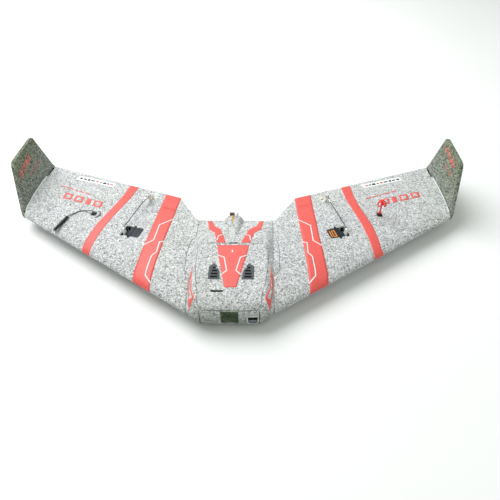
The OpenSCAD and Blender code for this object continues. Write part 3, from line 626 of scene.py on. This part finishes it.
def film(name, outline, material, body, lift=FILM_LIFT, step=2.5, place=None):
    """A thin closed film on the aircraft's skin. outline is in plan, or in place's own two coordinates."""
    edge = resampled([tuple(p) for p in outline], step)
    lo, hi = edge.min(0), edge.max(0)
    grid = np.stack(
        np.meshgrid(np.arange(lo[0], hi[0], step), np.arange(lo[1], hi[1], step), indexing="ij"), -1
    ).reshape(-1, 2)
    if len(grid):
        grid = grid[inside(grid, edge)]
    if len(grid):
        grid = grid[away(grid, edge, 0.45 * step)]
    flat = np.vstack([edge, grid]) if len(grid) else edge
    result = delaunay_2d_cdt([Vector(p) for p in flat], [], [list(range(len(edge)))], 1, 1e-5)
    plan = np.array([tuple(p) for p in result[0]], float)
    triangles = [tuple(t) for t in result[2]]
    if place:
        upper, lower = place(plan, lift), place(plan, -FILM_SINK)
    else:
        z = top_z(plan[:, 0], plan[:, 1])
        upper = np.column_stack([plan, z + lift])
        lower = np.column_stack([plan, z - FILM_SINK])
    n = len(plan)
    edges = [(t[k], t[(k + 1) % 3]) for t in triangles for k in range(3)]
    uses = Counter(frozenset(ends) for ends in edges)
    faces = triangles + [tuple(n + v for v in reversed(t)) for t in triangles]
    faces += [(a, n + a, n + b, b) for a, b in edges if uses[frozenset((a, b))] == 1]
    return mesh_object(name, np.vstack([upper, lower]), faces, material, body)


def line_outline(points, width):
    """Outline of a line of that width through the points, with mitred corners."""
    p = np.array(points, float)
    d = np.diff(p, axis=0)
    d /= np.linalg.norm(d, axis=1)[:, None]
    normals = np.column_stack([-d[:, 1], d[:, 0]])
    offsets = []
    for k in range(len(p)):
        a, b = normals[max(k - 1, 0)], normals[min(k, len(normals) - 1)]
        m = a + b
        m /= np.linalg.norm(m)
        offsets.append(m / max(0.35, m @ b))
    offsets = np.array(offsets) * width / 2
    return [tuple(q) for q in np.vstack([p + offsets, (p - offsets)[::-1]])]


# ---------------------------------------- foam


def settle(points, target, near=0.45, far=1.1):
    """Moves points that are already close to a surface onto it, so that no facet of the CAD model shows."""
    gap = np.abs(target - points[:, 2])
    w = share((far - gap) / (far - near))
    points[:, 2] += (target - points[:, 2]) * w * w * (3 - 2 * w)


def foam_mesh(node, voxel, rounds, bevel=0.0):
    """The CAD node's solid as fine foam: evenly meshed, its edges softened. Points are in millimetres."""
    source = linked("source", NODES[node].data.copy())
    work = bmesh.new()
    work.from_mesh(source.data)
    bmesh.ops.remove_doubles(work, verts=work.verts, dist=1e-6)
    work.to_mesh(source.data)
    work.free()
    if bevel:
        m = source.modifiers.new("bevel", "BEVEL")
        m.width, m.segments, m.limit_method, m.angle_limit = bevel * MM, 4, "ANGLE", math.radians(50)
    m = source.modifiers.new("remesh", "REMESH")
    m.mode, m.voxel_size = "VOXEL", voxel * MM
    m = source.modifiers.new("smooth", "SMOOTH")
    m.factor, m.iterations = 0.5, rounds
    evaluated = source.evaluated_get(bpy.context.evaluated_depsgraph_get())
    mesh = bpy.data.meshes.new_from_object(evaluated)
    bpy.data.objects.remove(source)
    points = np.empty(len(mesh.vertices) * 3, np.float32)
    mesh.vertices.foreach_get("co", points)
    return mesh, points.reshape(-1, 3).astype(float) / MM


def foam_piece(name, node, body, voxel=1.1, rounds=3, bevel=0.0, shape=None, twin=None, look=None):
    """A foam piece in place of a CAD node. twin is the (name, node, body) of its mirror image."""
    mesh, points = foam_mesh(node, voxel, rounds, bevel)
    if shape:
        shape(points)
    mesh.vertices.foreach_set("co", (points * MM).astype(np.float32).ravel())
    mesh.update()
    other = mesh.copy() if twin else None
    piece(name, mesh, look or FOAM, body, [node])
    if twin:
        other.transform(Matrix.Diagonal((-1, 1, 1, 1)))
        other.flip_normals()
        piece(twin[0], other, look or FOAM, twin[2], [twin[1]])


def wing_skin(points):
    x, y = points.T[:2]
    settle(points, wing_z(x, y))
    settle(points, wing_z(x, y, up=False))


def body_skin(points):
    x, y = points.T[:2]
    settle(points, top_z(x, y), 0.6, 1.2)


foam_piece("foam_wing_left", "wing_left", "airframe", 1.25, shape=wing_skin,
           twin=("foam_wing_right", "wing_right", "airframe"))
foam_piece("foam_elevon_left", "elevon_left", "elevon_left", 0.75, 2, shape=wing_skin,
           twin=("foam_elevon_right", "elevon_right", "elevon_right"))
foam_piece("foam_winglet_left", "winglet_left", "airframe", 0.9, 3, bevel=2.6,
           twin=("foam_winglet_right", "winglet_right", "airframe"), look=TIP_FOAM_PAINTED_SHADE)
foam_piece("foam_fuselage", "fuselage_shell", "airframe", 1.12, 3, shape=body_skin)
foam_piece("foam_hatch", "hatch", "hatch", 0.9, 3, shape=body_skin)


# ---------------------------------------- films on the wings

STRIP = 4.0  # mm, half width of what lies over the hinge


def curve(points):
    """x of an edge at a given y, from points (x, y) that run from the trailing to the leading edge."""
    p = np.array(points, float)[::-1]
    return lambda y: np.interp(y, p[:, 1], p[:, 0])


def band_grid(inner, outer, rows, cols=9):
    """Points of a band round the wing section. rows are functions of x that give (y, upper side or not)."""
    grid = np.empty((len(rows), cols, 3))
    for j, u in enumerate(np.linspace(0, 1, cols)):
        for i, row in enumerate(rows):
            x = 200.0
            for _ in range(12):
                y, up = row(x)
                x = float(inner(y) * (1 - u) + outer(y) * u)
            y, up = row(x)
            grid[i, j] = x, y, wing_z(x, y, up)
    return grid


def chord_row(f, up=True):
    return lambda x: (float(lead_y(x) + f * (trail_y(x) - lead_y(x))), up)


def hinge_row(d):
    return lambda x: (float(hinge_y(x) + d * HINGE_NORM), True)


def to_lead(t):
    """Row a share t of the way from just ahead of the hinge to the leading edge, closer together there."""

    def row(x):
        start = float(hinge_y(x) - STRIP * HINGE_NORM)
        lead = float(lead_y(x))
        return lead + (start - lead) * (1 - t) ** 2, True

    return row


def to_trail(t):
    def row(x):
        start, end = float(hinge_y(x) + STRIP * HINGE_NORM), float(trail_y(x)) - 0.4
        return start + (end - start) * t, True

    return row


def hinge_point(x, d, side):
    """A point in metres, d millimetres behind the hinge line."""
    return (side * x * MM, (float(hinge_y(x)) + d * HINGE_NORM) * MM, HINGE_Z * MM)


def bend_over_hinge(o, side, x):
    o.parent = None
    hinge_point(x, -1.6, side)
    hinge_point(x, 1.6, side)
    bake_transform(o)


def shifted(edge, y0, shift0, y1, shift1):
    """The edge, moved outboard by shift0 at y0 and by shift1 at y1."""
    return lambda y: edge(y) + np.interp(y, (y0, y1), (shift0, shift1))


def band(name, inner, outer, material, shifts):
    """A red band over the whole chord: ahead of the hinge, over it, and on the elevon."""
    ahead = [to_lead(t) for t in np.linspace(0, 1, 44)]
    ahead += [chord_row(f, False) for f in (0.0015, 0.005, 0.011, 0.02)]
    over = [hinge_row(d) for d in np.linspace(-STRIP, STRIP, 13)]
    aft = [to_trail(t) for t in np.linspace(0, 1, 12)]
    for side_name, side in SIDES:
        y0, y1, lead, trail = shifts[side]
        edges = [
            shifted(edge, y0, lead + grow, y1, trail + grow) for edge, grow in ((inner, -0.5), (outer, 0.5))
        ]
        parts = (
            ("front", ahead, "airframe"),
            ("hinge", over, None),
            ("rear", aft, "elevon_" + side_name),
        )
        for part, rows, body in parts:
            points, faces = shell(band_grid(*edges, rows), (FILM_LIFT, FILM_SINK))
            points[:, 0] *= side
            o = mesh_object(f"{name}_{part}_{side_name}", points, faces, material, body)
            if part == "hinge":
                bend_over_hinge(o, side, float(points[:, 0].mean() * side))


OUTER_OUT = curve([
    (219.0, 131), (222.4, 83), (229.2, 48), (238, 16), (244, -9), (248.6, -35), (251.5, -55), (255.5, -63),
])
OUTER_IN = curve([
    (201.4, 128), (206.2, 80), (214.2, 46), (222.6, 13.5), (228.9, -15.6), (233.3, -39.5), (236.5, -59),
    (239.2, -74),
])
INNER_OUT = curve([
    (139.7, 102), (139.8, 88), (141.8, 46), (144.2, 3), (146.5, -35), (150, -68), (152.4, -96),
    (154.5, -114), (154.6, -128), (155.2, -136),
])
INNER_IN = curve([
    (109.4, 96), (109.5, 86), (112, 37), (114.6, -1), (117.5, -35), (119.7, -66), (122.2, -94),
    (124, -120), (125.2, -146), (125.3, -150),
])
# For each side: two values of y, then how far outboard the edges move at each.
OUTER_SHIFTS = {1: (-60, 120, -4.0, 0.5), -1: (-60, 120, 5.5, -4.0)}
INNER_SHIFTS = {1: (-130, 80, -3.0, 0.0), -1: (-130, 80, 2.4, 0.0)}
band("outer_band", OUTER_IN, OUTER_OUT, RED_FILM, OUTER_SHIFTS)
band("inner_band", INNER_IN, INNER_OUT, RED_FILM, INNER_SHIFTS)

BAND_GAPS = (
    [(110.6, 17.2), (133.4, -1.2), (135.4, -42.0), (149.6, -54.4)],
    [
        (116.2, -45.4), (124.7, -47.2), (125.1, -71.2), (131.7, -79.6), (134.6, -108), (134.8, -119),
        (123.2, -134.4),
    ],
)
for side_name, side in SIDES:
    y0, y1, lead, trail = INNER_SHIFTS[side]
    for k, gap in enumerate(BAND_GAPS):
        gap = [(x + float(np.interp(y, (y0, y1), (lead, trail))), y) for x, y in gap]
        outline = line_outline(gap, 1.9)
        outline = outline if side > 0 else mirrored(outline)
        film(f"band_line_{k}_{side_name}", outline, WHITE_FILM, "airframe", 0.24, step=2.0)


def hinge_skins():
    """The foam's own skin, which lies over the elevon's hinge and closes the gap above it."""
    for side_name, side in SIDES:
        xs = np.linspace(84.2, HINGE_END_X - 0.4, 130)
        grid = np.empty((15, len(xs), 3))
        for i, d in enumerate(np.linspace(-STRIP - 1, STRIP + 1, 15)):
            y = hinge_y(xs) + d * HINGE_NORM
            crown = 0.1 * (1 - (d / (STRIP + 1)) ** 2)
            grid[i] = np.column_stack([xs, y, wing_z(xs, y) + crown])
        points, faces = shell(grid, (0.0, 0.5))
        points[:, 0] *= side
        o = mesh_object(f"hinge_skin_{side_name}", points, faces, FOAM, None)
        bend_over_hinge(o, side, 230.0)


hinge_skins()


def bar(at, start, end, low, high, lean=0.0):
    """A slanted bar's outline. at maps (along, across) to the plan."""
    return [at(start, low), at(end, low), at(end + lean, high), at(start + lean, high)]


def label(side_name, side):
    """A white label near the trailing edge, with generic bars in place of lettering."""
    corner, reach = np.array([247.0, 116.8]), np.array([0.9535, 0.3013])
    across = np.array([-reach[1], reach[0]])

    def at(u, v):
        p = corner + reach * u + across * v
        return (side * p[0], p[1])

    elevon = "elevon_" + side_name
    film(f"label_{side_name}", bar(at, 0, 86, 0, 15), WHITE_FILM, elevon)
    bars = [
        (5, 11, 4), (13, 18, 4), (20, 27, 6), (30, 35, 3), (37.5, 43, 5), (46, 54, 4), (57, 62, 6),
        (64.5, 71, 4), (74, 80, 5),
    ]
    for k, (a, b, h) in enumerate(bars):
        low = 7.5 - h / 2
        ink = RED_FILM if k in (0, 4) else DARK_PRINT_AND_SHADE_FILM
        film(f"label_bar_{k}_{side_name}", bar(at, a, b, low, low + h, 1.5), ink, elevon, 0.24)


def along(start, end, side, height):
    """Maps (u, v) to the plan: u runs from 0 to 1 between two points and v is in millimetres across."""
    a, b = np.array(start, float), np.array(end, float)
    d = (b - a) / np.linalg.norm(b - a)
    across = np.array([-d[1], d[0]]) * height

    def at(u, v):
        p = a + (b - a) * u + across * v
        return (side * p[0], p[1])

    return at


# For each side: the ends of the line of bars, then the ends of the line of dashes.
MARK_LINES = {
    1: ((269, 57), (353, 85), (243.5, 78), (307, 104)),
    -1: ((252, 46), (338, 78), (284, 88), (349, 116)),
}


def wing_marks(side_name, side):
    """Generic slanted bars and dashes where the wing carries its lettering."""
    line = MARK_LINES[side]
    at = along(line[0], line[1], side, 17.0)
    for k, (a, b) in enumerate(((0.0, 0.2), (0.27, 0.38), (0.45, 0.66), (0.73, 0.93))):
        film(f"wing_mark_{k}_{side_name}", bar(at, a, b, 0, 1, 0.06), RED_FILM, "airframe")
        if b - a > 0.15:
            hollow = [at(a + 0.055, 0.22), at(b - 0.035, 0.22), at(b, 0.78), at(a + 0.09, 0.78)]
            film(f"wing_mark_core_{k}_{side_name}", hollow, FOAM, "airframe", 0.22)
    at = along(line[2], line[3], side, 2.6)
    for k, (a, b) in enumerate(((0.0, 0.17), (0.21, 0.38), (0.42, 0.5), (0.56, 0.78), (0.82, 1.0))):
        film(f"wing_dash_{k}_{side_name}", bar(at, a, b, 0, 1), RED_FILM, "airframe")


for side_name, side in SIDES:
    label(side_name, side)
    wing_marks(side_name, side)


# ---------------------------------------- films on the fuselage

CHEVRON_HALF = [(26.4, -66.6), (22.6, -89.8), (14.4, -130.2), (9.0, -156.8)]
CHEVRON = [(-26.4, -66.6), *CHEVRON_HALF, *mirrored(CHEVRON_HALF[:0:-1])]
CHEVRON_LINE = line_outline([(23.6, -89.4), (12.8, -94.4), (7.2, -122.7), (15.2, -131.2)], 1.8)
ARM = [
    (50.0, 14.6), (44.6, -19.0), (33.7, -30.0), (28.8, -56.0), (27.4, -60.6), (12.4, -60.6),
    (24.9, -16.5), (37.2, -4.6), (42.6, 14.6),
]
ARM_LINE = line_outline([(19.6, -36.2), (26.3, -39.0), (27.8, -53.4)], 1.7)
ARROW = [
    (62.2, -106.4), (64.6, -130), (64.4, -157), (59.6, -187.4), (52.1, -174.2), (58.6, -157.2),
    (61.1, -129),
]
ARROW_CORE = [(62.5, -130), (62.8, -160.5), (60.4, -172.5), (55.2, -173.6), (60.3, -157), (61.6, -140)]


def body_marks(side_name, side):
    """The films on one side of the fuselage and its hatch."""

    def flip(points):
        return points if side > 0 else mirrored(points)

    film(f"chevron_line_{side_name}", flip(CHEVRON_LINE), WHITE_FILM, "hatch", 0.24)
    film(f"chevron_arm_{side_name}", flip(ARM), RED_FILM, "airframe")
    film(f"arm_line_{side_name}", flip(ARM_LINE), WHITE_FILM, "airframe", 0.24)
    film(f"arrow_{side_name}", flip(ARROW), RED_FILM, "airframe", step=1.6)
    film(f"arrow_core_{side_name}", flip(ARROW_CORE), FOAM, "airframe", 0.24, step=1.6)


film("chevron", CHEVRON, RED_FILM, "hatch")
for side_name, side in SIDES:
    body_marks(side_name, side)
turns = np.linspace(0, 2 * math.pi, 20, endpoint=False)
grip = [(1.26 * math.cos(a) - 0.4, -80.6 + 3.2 * math.sin(a)) for a in turns]
film("grip_mark", grip, WHITE_FILM, "hatch", 0.24, step=1.0)


# ---------------------------------------- winglets


def winglet_place(side, plan, lift):
    """Points of a winglet's inner face: plan is (Y, height above the chord plane along the face)."""
    y, h = plan.T
    x = TIP_X + h * math.sin(CANT) - lift * math.cos(CANT)
    return np.column_stack([side * x, y, WING_Z + h * math.cos(CANT) + lift * math.sin(CANT)])


# For each side: the ends of the line of bars, their height, then the ends of the line of dashes.
WINGLET_LINES = {
    1: ((160, 66), (106, 59), 8.5, (134, 50), (96, 48.8)),
    -1: ((84, 50), (137, 56.5), 9.0, (115, 37.5), (156, 38.5)),
}


def winglet_marks(side_name, side):
    """Generic bars along the winglet's inner face."""
    big_a, big_b, height, small_a, small_b = WINGLET_LINES[side]
    up = -height if side > 0 else height

    def place(plan, lift):
        return winglet_place(side, plan, lift)

    at = along(big_a, big_b, 1, up)
    for k, (a, b) in enumerate(((0.0, 0.18), (0.26, 0.52), (0.6, 0.76), (0.83, 1.0))):
        film(f"winglet_mark_{k}_{side_name}", bar(at, a, b, 0, 1, 0.05), RED_FILM, "airframe", place=place)
        if b - a > 0.17:
            hollow = [at(a + 0.05, 0.24), at(b - 0.03, 0.24), at(b, 0.76), at(a + 0.08, 0.76)]
            film(f"winglet_core_{k}_{side_name}", hollow, TIP_FOAM_PAINTED_SHADE, "airframe", 0.22, place=place)
    at = along(small_a, small_b, 1, 1.8)
    for k, (a, b) in enumerate(((0.0, 0.22), (0.3, 0.42), (0.5, 0.74), (0.82, 1.0))):
        film(f"winglet_dash_{k}_{side_name}", bar(at, a, b, 0, 1), RED_FILM, "airframe", place=place)


for side_name, side in SIDES:
    winglet_marks(side_name, side)


def glue_beads():
    """The bead of glue along each winglet joint."""
    for side_name, side in SIDES:
        random = np.random.default_rng(7 if side > 0 else 11)
        x = TIP_X - 0.3
        ys = np.linspace(41, 151, 90)
        wobble = np.convolve(random.normal(0, 1, len(ys) + 8), np.ones(9) / 9, "valid")
        points, sides = [], 10
        for i, y in enumerate(ys):
            ends = min(1.0, i / 3, (len(ys) - 1 - i) / 3)
            radius = (0.95 + 0.5 * wobble[i]) * (0.25 + 0.75 * ends) * (0.9 if side > 0 else 1.15)
            z = float(wing_z(x, y)) + 0.2
            for k in range(sides):
                a = 2 * math.pi * k / sides
                points.append((side * (x + radius * 1.15 * math.cos(a)), y, z + radius * math.sin(a)))
        faces = tube_faces(len(ys), sides)
        mesh_object(f"glue_bead_{side_name}", points, faces, GLUE, "airframe")


glue_beads()


# ---------------------------------------- painted shade linings, stickers and trim

BOX_FACES = ((0, 3, 2, 1), (4, 5, 6, 7), (0, 1, 5, 4), (1, 2, 6, 5), (2, 3, 7, 6), (3, 0, 4, 7))


def boxes(name, pairs, material, body, at=None):
    """One piece made of closed boxes. at maps the corners into the aircraft's frame."""
    points, faces = [], []
    for (x0, y0, z0), (x1, y1, z1) in pairs:
        n = len(points)
        points += [(x, y, z) for z in (z0, z1) for x, y in ((x0, y0), (x1, y0), (x1, y1), (x0, y1))]
        faces += [tuple(n + k for k in face) for face in BOX_FACES]
    points = np.array([at(p) for p in points] if at else points, float)
    return mesh_object(name, points, faces, material, body, smooth=False)


def servo_point(side):
    """Maps servo coordinates (along its shaft, along the chord, up) into the aircraft's frame."""

    def at(p):
        u, v, w = p
        x = SERVO_AT[0] + u * math.cos(SERVO_TURN) - v * math.sin(SERVO_TURN)
        y = SERVO_AT[1] + u * math.sin(SERVO_TURN) + v * math.cos(SERVO_TURN)
        return (side * x, y, SERVO_AT[2] + w)

    return at


for side_name, side in SIDES:
    at = servo_point(side)
    # Black sheets on the floor and walls of the servo pocket: painted shade.
    boxes(f"pocket_shade_lining_{side_name}", [
        ((-0.9, -8.9, -6.39), (5.4, 16.9, -6.1)),
        ((5.1, -8.9, -6.1), (5.45, 16.9, 4.6)),
        ((-0.9, -8.95, -6.1), (5.1, -8.6, 4.6)),
        ((-0.9, 16.6, -6.1), (5.1, 16.95, 4.6)),
    ], BLACK_SHADE_AND_SEAM, "airframe", at)
    seam = [((-20.2, -7.06, -6.12), (-19.8, 16.06, 6.14))]
    seam += [((-12.7 + 0.9 * k, -7.03, 6.05), (-12.4 + 0.9 * k, 16.03, 6.16)) for k in range(4)]
    boxes(f"servo_seam_{side_name}", seam, BLACK_SHADE_AND_SEAM, "airframe", at)
at = servo_point(1)
sticker = [((-26.6, -5.4, 6.0), (-14.0, 14.4, 6.22))]
boxes("servo_sticker", sticker, STICKER_BROWN, "airframe", at)
boxes("servo_sticker_bars", [
    ((-25.4, -3.6, 6.15), (-23.6, 12.6, 6.32)), ((-21.6, -3.6, 6.15), (-20.2, 12.6, 6.32)),
    ((-17.2, -3.6, 6.15), (-15.4, 12.6, 6.32)), ((-20.2, -3.6, 6.15), (-17.2, -2.0, 6.32)),
    ((-20.2, 11.0, 6.15), (-17.2, 12.6, 6.32)),
], STICKER_ORANGE, "airframe", at)

# Black sheets inside the notch at the hatch's rear edge: painted shade.
boxes("notch_shade_lining", [
    ((-7.45, -62.3, 46.0), (7.45, -59.4, 46.3)), ((-7.45, -59.75, 46.3), (7.45, -59.42, 52.9)),
    ((-7.47, -62.3, 46.3), (-7.15, -59.75, 52.9)), ((7.15, -62.3, 46.3), (7.47, -59.75, 52.9)),
], BLACK_SHADE_AND_SEAM, "airframe")
# Black sheets inside the cable slot in the hatch: painted shade.
boxes("cable_slot_shade_lining", [
    ((-28.95, -164.75, 42.6), (-10.05, -164.4, 53.2)), ((-28.95, -162.2, 47.3), (-10.05, -161.85, 53.2)),
    ((-28.95, -164.4, 42.6), (-28.6, -162.2, 53.2)), ((-10.4, -164.4, 42.6), (-10.05, -162.2, 53.2)),
], BLACK_SHADE_AND_SEAM, "hatch")
for side_name, side in SIDES:
    slots = []
    for k in range(4):
        x0, x1 = 20.7 + 0.5 * k, 31.5 - 0.7 * k
        y0 = -137.5 + 6.2 * k
        low, high = sorted((side * x0, side * x1))
        slots.append(((low, y0, 53.02), (high, y0 + 3.5, 53.3)))
    # Black boxes under the vent's slots: painted shade.
    boxes(f"vent_slot_shade_{side_name}", slots, BLACK_SHADE_AND_SEAM, "hatch")
    # A black strip in the gap between the elevon's end and the winglet: painted shade.
    low, high = sorted((side * 388.9, side * 389.6))
    gap = [((low, 159, 24.5), (high, 186, 31.0))]
    boxes(f"elevon_gap_shade_{side_name}", gap, BLACK_SHADE_AND_SEAM, "airframe")
# Sheets of that darker foam on the walls and ceiling of the nose recess: painted shade.
boxes("recess_shade_lining", [
    ((-13.2, -177.4, 16.05), (13.2, -176.9, 41.9)), ((-13.2, -193.5, 16.05), (-12.8, -177.4, 41.9)),
    ((12.8, -193.5, 16.05), (13.2, -177.4, 41.9)), ((-12.8, -193.5, 16.05), (12.8, -177.4, 16.45)),
], SHADED_FOAM, "airframe")
boxes("recess_ceiling_shade", [((-13.1, -193.5, 42.6), (13.1, -177, 42.98))], SHADED_FOAM, "hatch")


def body_bottom(x, y):
    front = share((nose_line(x) + 22 - y) / 22)
    aft = share((y - KEEL_START) / (TAIL_Y - KEEL_START)) ** 1.4
    keel = (28 - 22 * aft) * np.sqrt(1 - front**2)
    root = WING_Z - wing_z(SEAM_X, y, up=False)
    return WING_Z - root - (keel - root) * (1 - share((np.abs(x) - 46) / (SEAM_X - 46)) ** 2.2)


def front_y(x, z):
    """Where the nose's front face is at that height."""
    near, far = float(nose_line(x)), float(nose_line(x)) + 40
    for _ in range(30):
        y = (near + far) / 2
        if z > WING_Z:
            outside = float(body_top(x, y)) < z
        else:
            outside = float(body_bottom(x, y)) > z
        near, far = (y, far) if outside else (near, y)
    return (near + far) / 2


WINDOW_X, WINDOW_HALF_W = 34.3, 7.5
WINDOW_ARC_Z, WINDOW_TOP = 21, 33.5


def window_outline(grow):
    """The camera window's outline on the nose, in (x, z), larger by grow."""
    half, top = WINDOW_HALF_W + grow, WINDOW_TOP + grow
    turns = np.linspace(math.pi, 2 * math.pi, 13)
    arc = [(WINDOW_X + half * math.cos(a), WINDOW_ARC_Z + half * math.sin(a)) for a in turns]
    return [*arc, (WINDOW_X + half, top), (WINDOW_X - half, top)]


def on_nose(plan, lift):
    return np.array([(x, front_y(x, z) - lift, z) for x, z in plan])


def window_trim():
    """A pale rim round the camera window and the smoked shield in its lower half."""
    outer = resampled(window_outline(1.0), 1.5)
    points, faces = [], []
    n = len(outer)
    centre = np.array([WINDOW_X, WINDOW_ARC_Z + 2.5])
    for k, p in enumerate(outer):
        d = centre - p
        q = p + d / np.linalg.norm(d) * 1.3
        for (x, z), lift in ((p, 0.25), (p, -0.6), (q, -0.6), (q, 0.25)):
            points.append((x, front_y(x, z) - lift, z))
        nxt = (k + 1) % n
        faces += [(4 * k + i, 4 * nxt + i, 4 * nxt + (i + 1) % 4, 4 * k + (i + 1) % 4) for i in range(4)]
    mesh_object("window_rim", points, faces, PALE_TRIM, "airframe")
    shield = [(x, z) for x, z in window_outline(-0.1) if z < 21.5] + [(41.7, 22.0), (26.9, 22.0)]

    def behind_rim(plan, lift):
        return np.array([(x, front_y(x, z) + (1.2 + 0.22 * (z - 13)) - 0.5 * lift, z) for x, z in plan])

    film("window_shield", shield, SMOKED_SHIELD, "airframe", 0.5, 1.5, behind_rim)


window_trim()
# A dark line down each side of the nose's front face, where it turns into the flank: painted shade.
for side_name, side in SIDES:
    crease = line_outline([(side * 44.0, 41.5), (side * 44.3, 7.0)], 1.1)
    film(f"nose_crease_shade_{side_name}", crease, DARK_PRINT_AND_SHADE_FILM, "airframe", 0.12, step=1.5, place=on_nose)


def arm_blade(side_name, side):
    """The servo's white arm: a thick blade with a round hub."""
    hub, tip = np.linspace(0.96, 2.04, 22) * math.pi, np.linspace(0.04, 0.96, 12) * math.pi
    outline = [(4.3 * math.cos(a), 4.3 * math.sin(a)) for a in hub]
    outline += [(2.6 * math.cos(a), 14 + 2.6 * math.sin(a)) for a in tip]
    at, n = servo_point(side), len(outline)
    levels = ((-1.2, 0.9), (-0.9, 1.0), (2.2, 1.0), (2.55, 0.88))
    points = [at((u, v * grow, 7 + (w - 7) * grow)) for u, grow in levels for v, w in outline]
    faces = tube_faces(len(levels), n)
    arm = "servo_arm_" + side_name
    mesh_object(f"arm_blade_{side_name}", points, faces, ARM_WHITE, arm, [arm], False)


for side_name, side in SIDES:
    arm_blade(side_name, side)


# ---------------------------------------- CAD nodes that keep their shape

slot_of = {s["node"]: s["material_slot"] for s in frame["record"]["subparts"]}
for name, node in NODES.items():
    look = LOOKS.get(slot_of[name], FOAM)
    node.data.materials.clear()
    node.data.materials.append(BURNT_PLY if name == "firewall" else look)


# ---------------------------------------- studio


def area_light(name, at, aim, size, power, colour):
    data = bpy.data.lights.new(name, "AREA")
    data.shape, data.size, data.energy, data.color = "DISK", size, power, colour
    o = linked(name, data)
    o.location = at
    o.rotation_euler = (Vector(aim) - Vector(at)).to_track_quat("-Z", "Y").to_euler()


def studio():
    area_light("key", (-0.95, 0.9, 1.85), (0, 0, 0), 2.3, 63, (0.98, 0.985, 1.0))
    area_light("fill", (0.9, -1.0, 2.6), (0, 0, 0), 2.4, 7, (1.0, 0.99, 0.96))
    world = bpy.data.worlds.new("studio")
    world.use_nodes = True
    world.node_tree.nodes["Background"].inputs["Color"].default_value = (0.93, 1.0, 0.92, 1)
    world.node_tree.nodes["Background"].inputs["Strength"].default_value = 0.44
    SCENE.world = world
    floor_look = Look("pale_floor", Roughness=0.9, Specular_IOR_Level=0.1)
    floor_look.set("Base Color", floor_look.ramp(floor_look.noise(300, 2.0), (0.3, 0.90), (0.7, 0.92)))
    mesh = bpy.data.meshes.new("floor")
    reach = 8.0
    corners = [(-reach, -reach, 0), (reach, -reach, 0), (reach, reach, 0), (-reach, reach, 0)]
    mesh.from_pydata(corners, [], [(0, 1, 2, 3)])
    mesh.materials.append(floor_look.material)
    floor = linked("floor", mesh)
    floor.location.z = -0.0002
    SCENE.view_settings.view_transform = "Standard"
    SCENE.view_settings.look = "None"


studio()
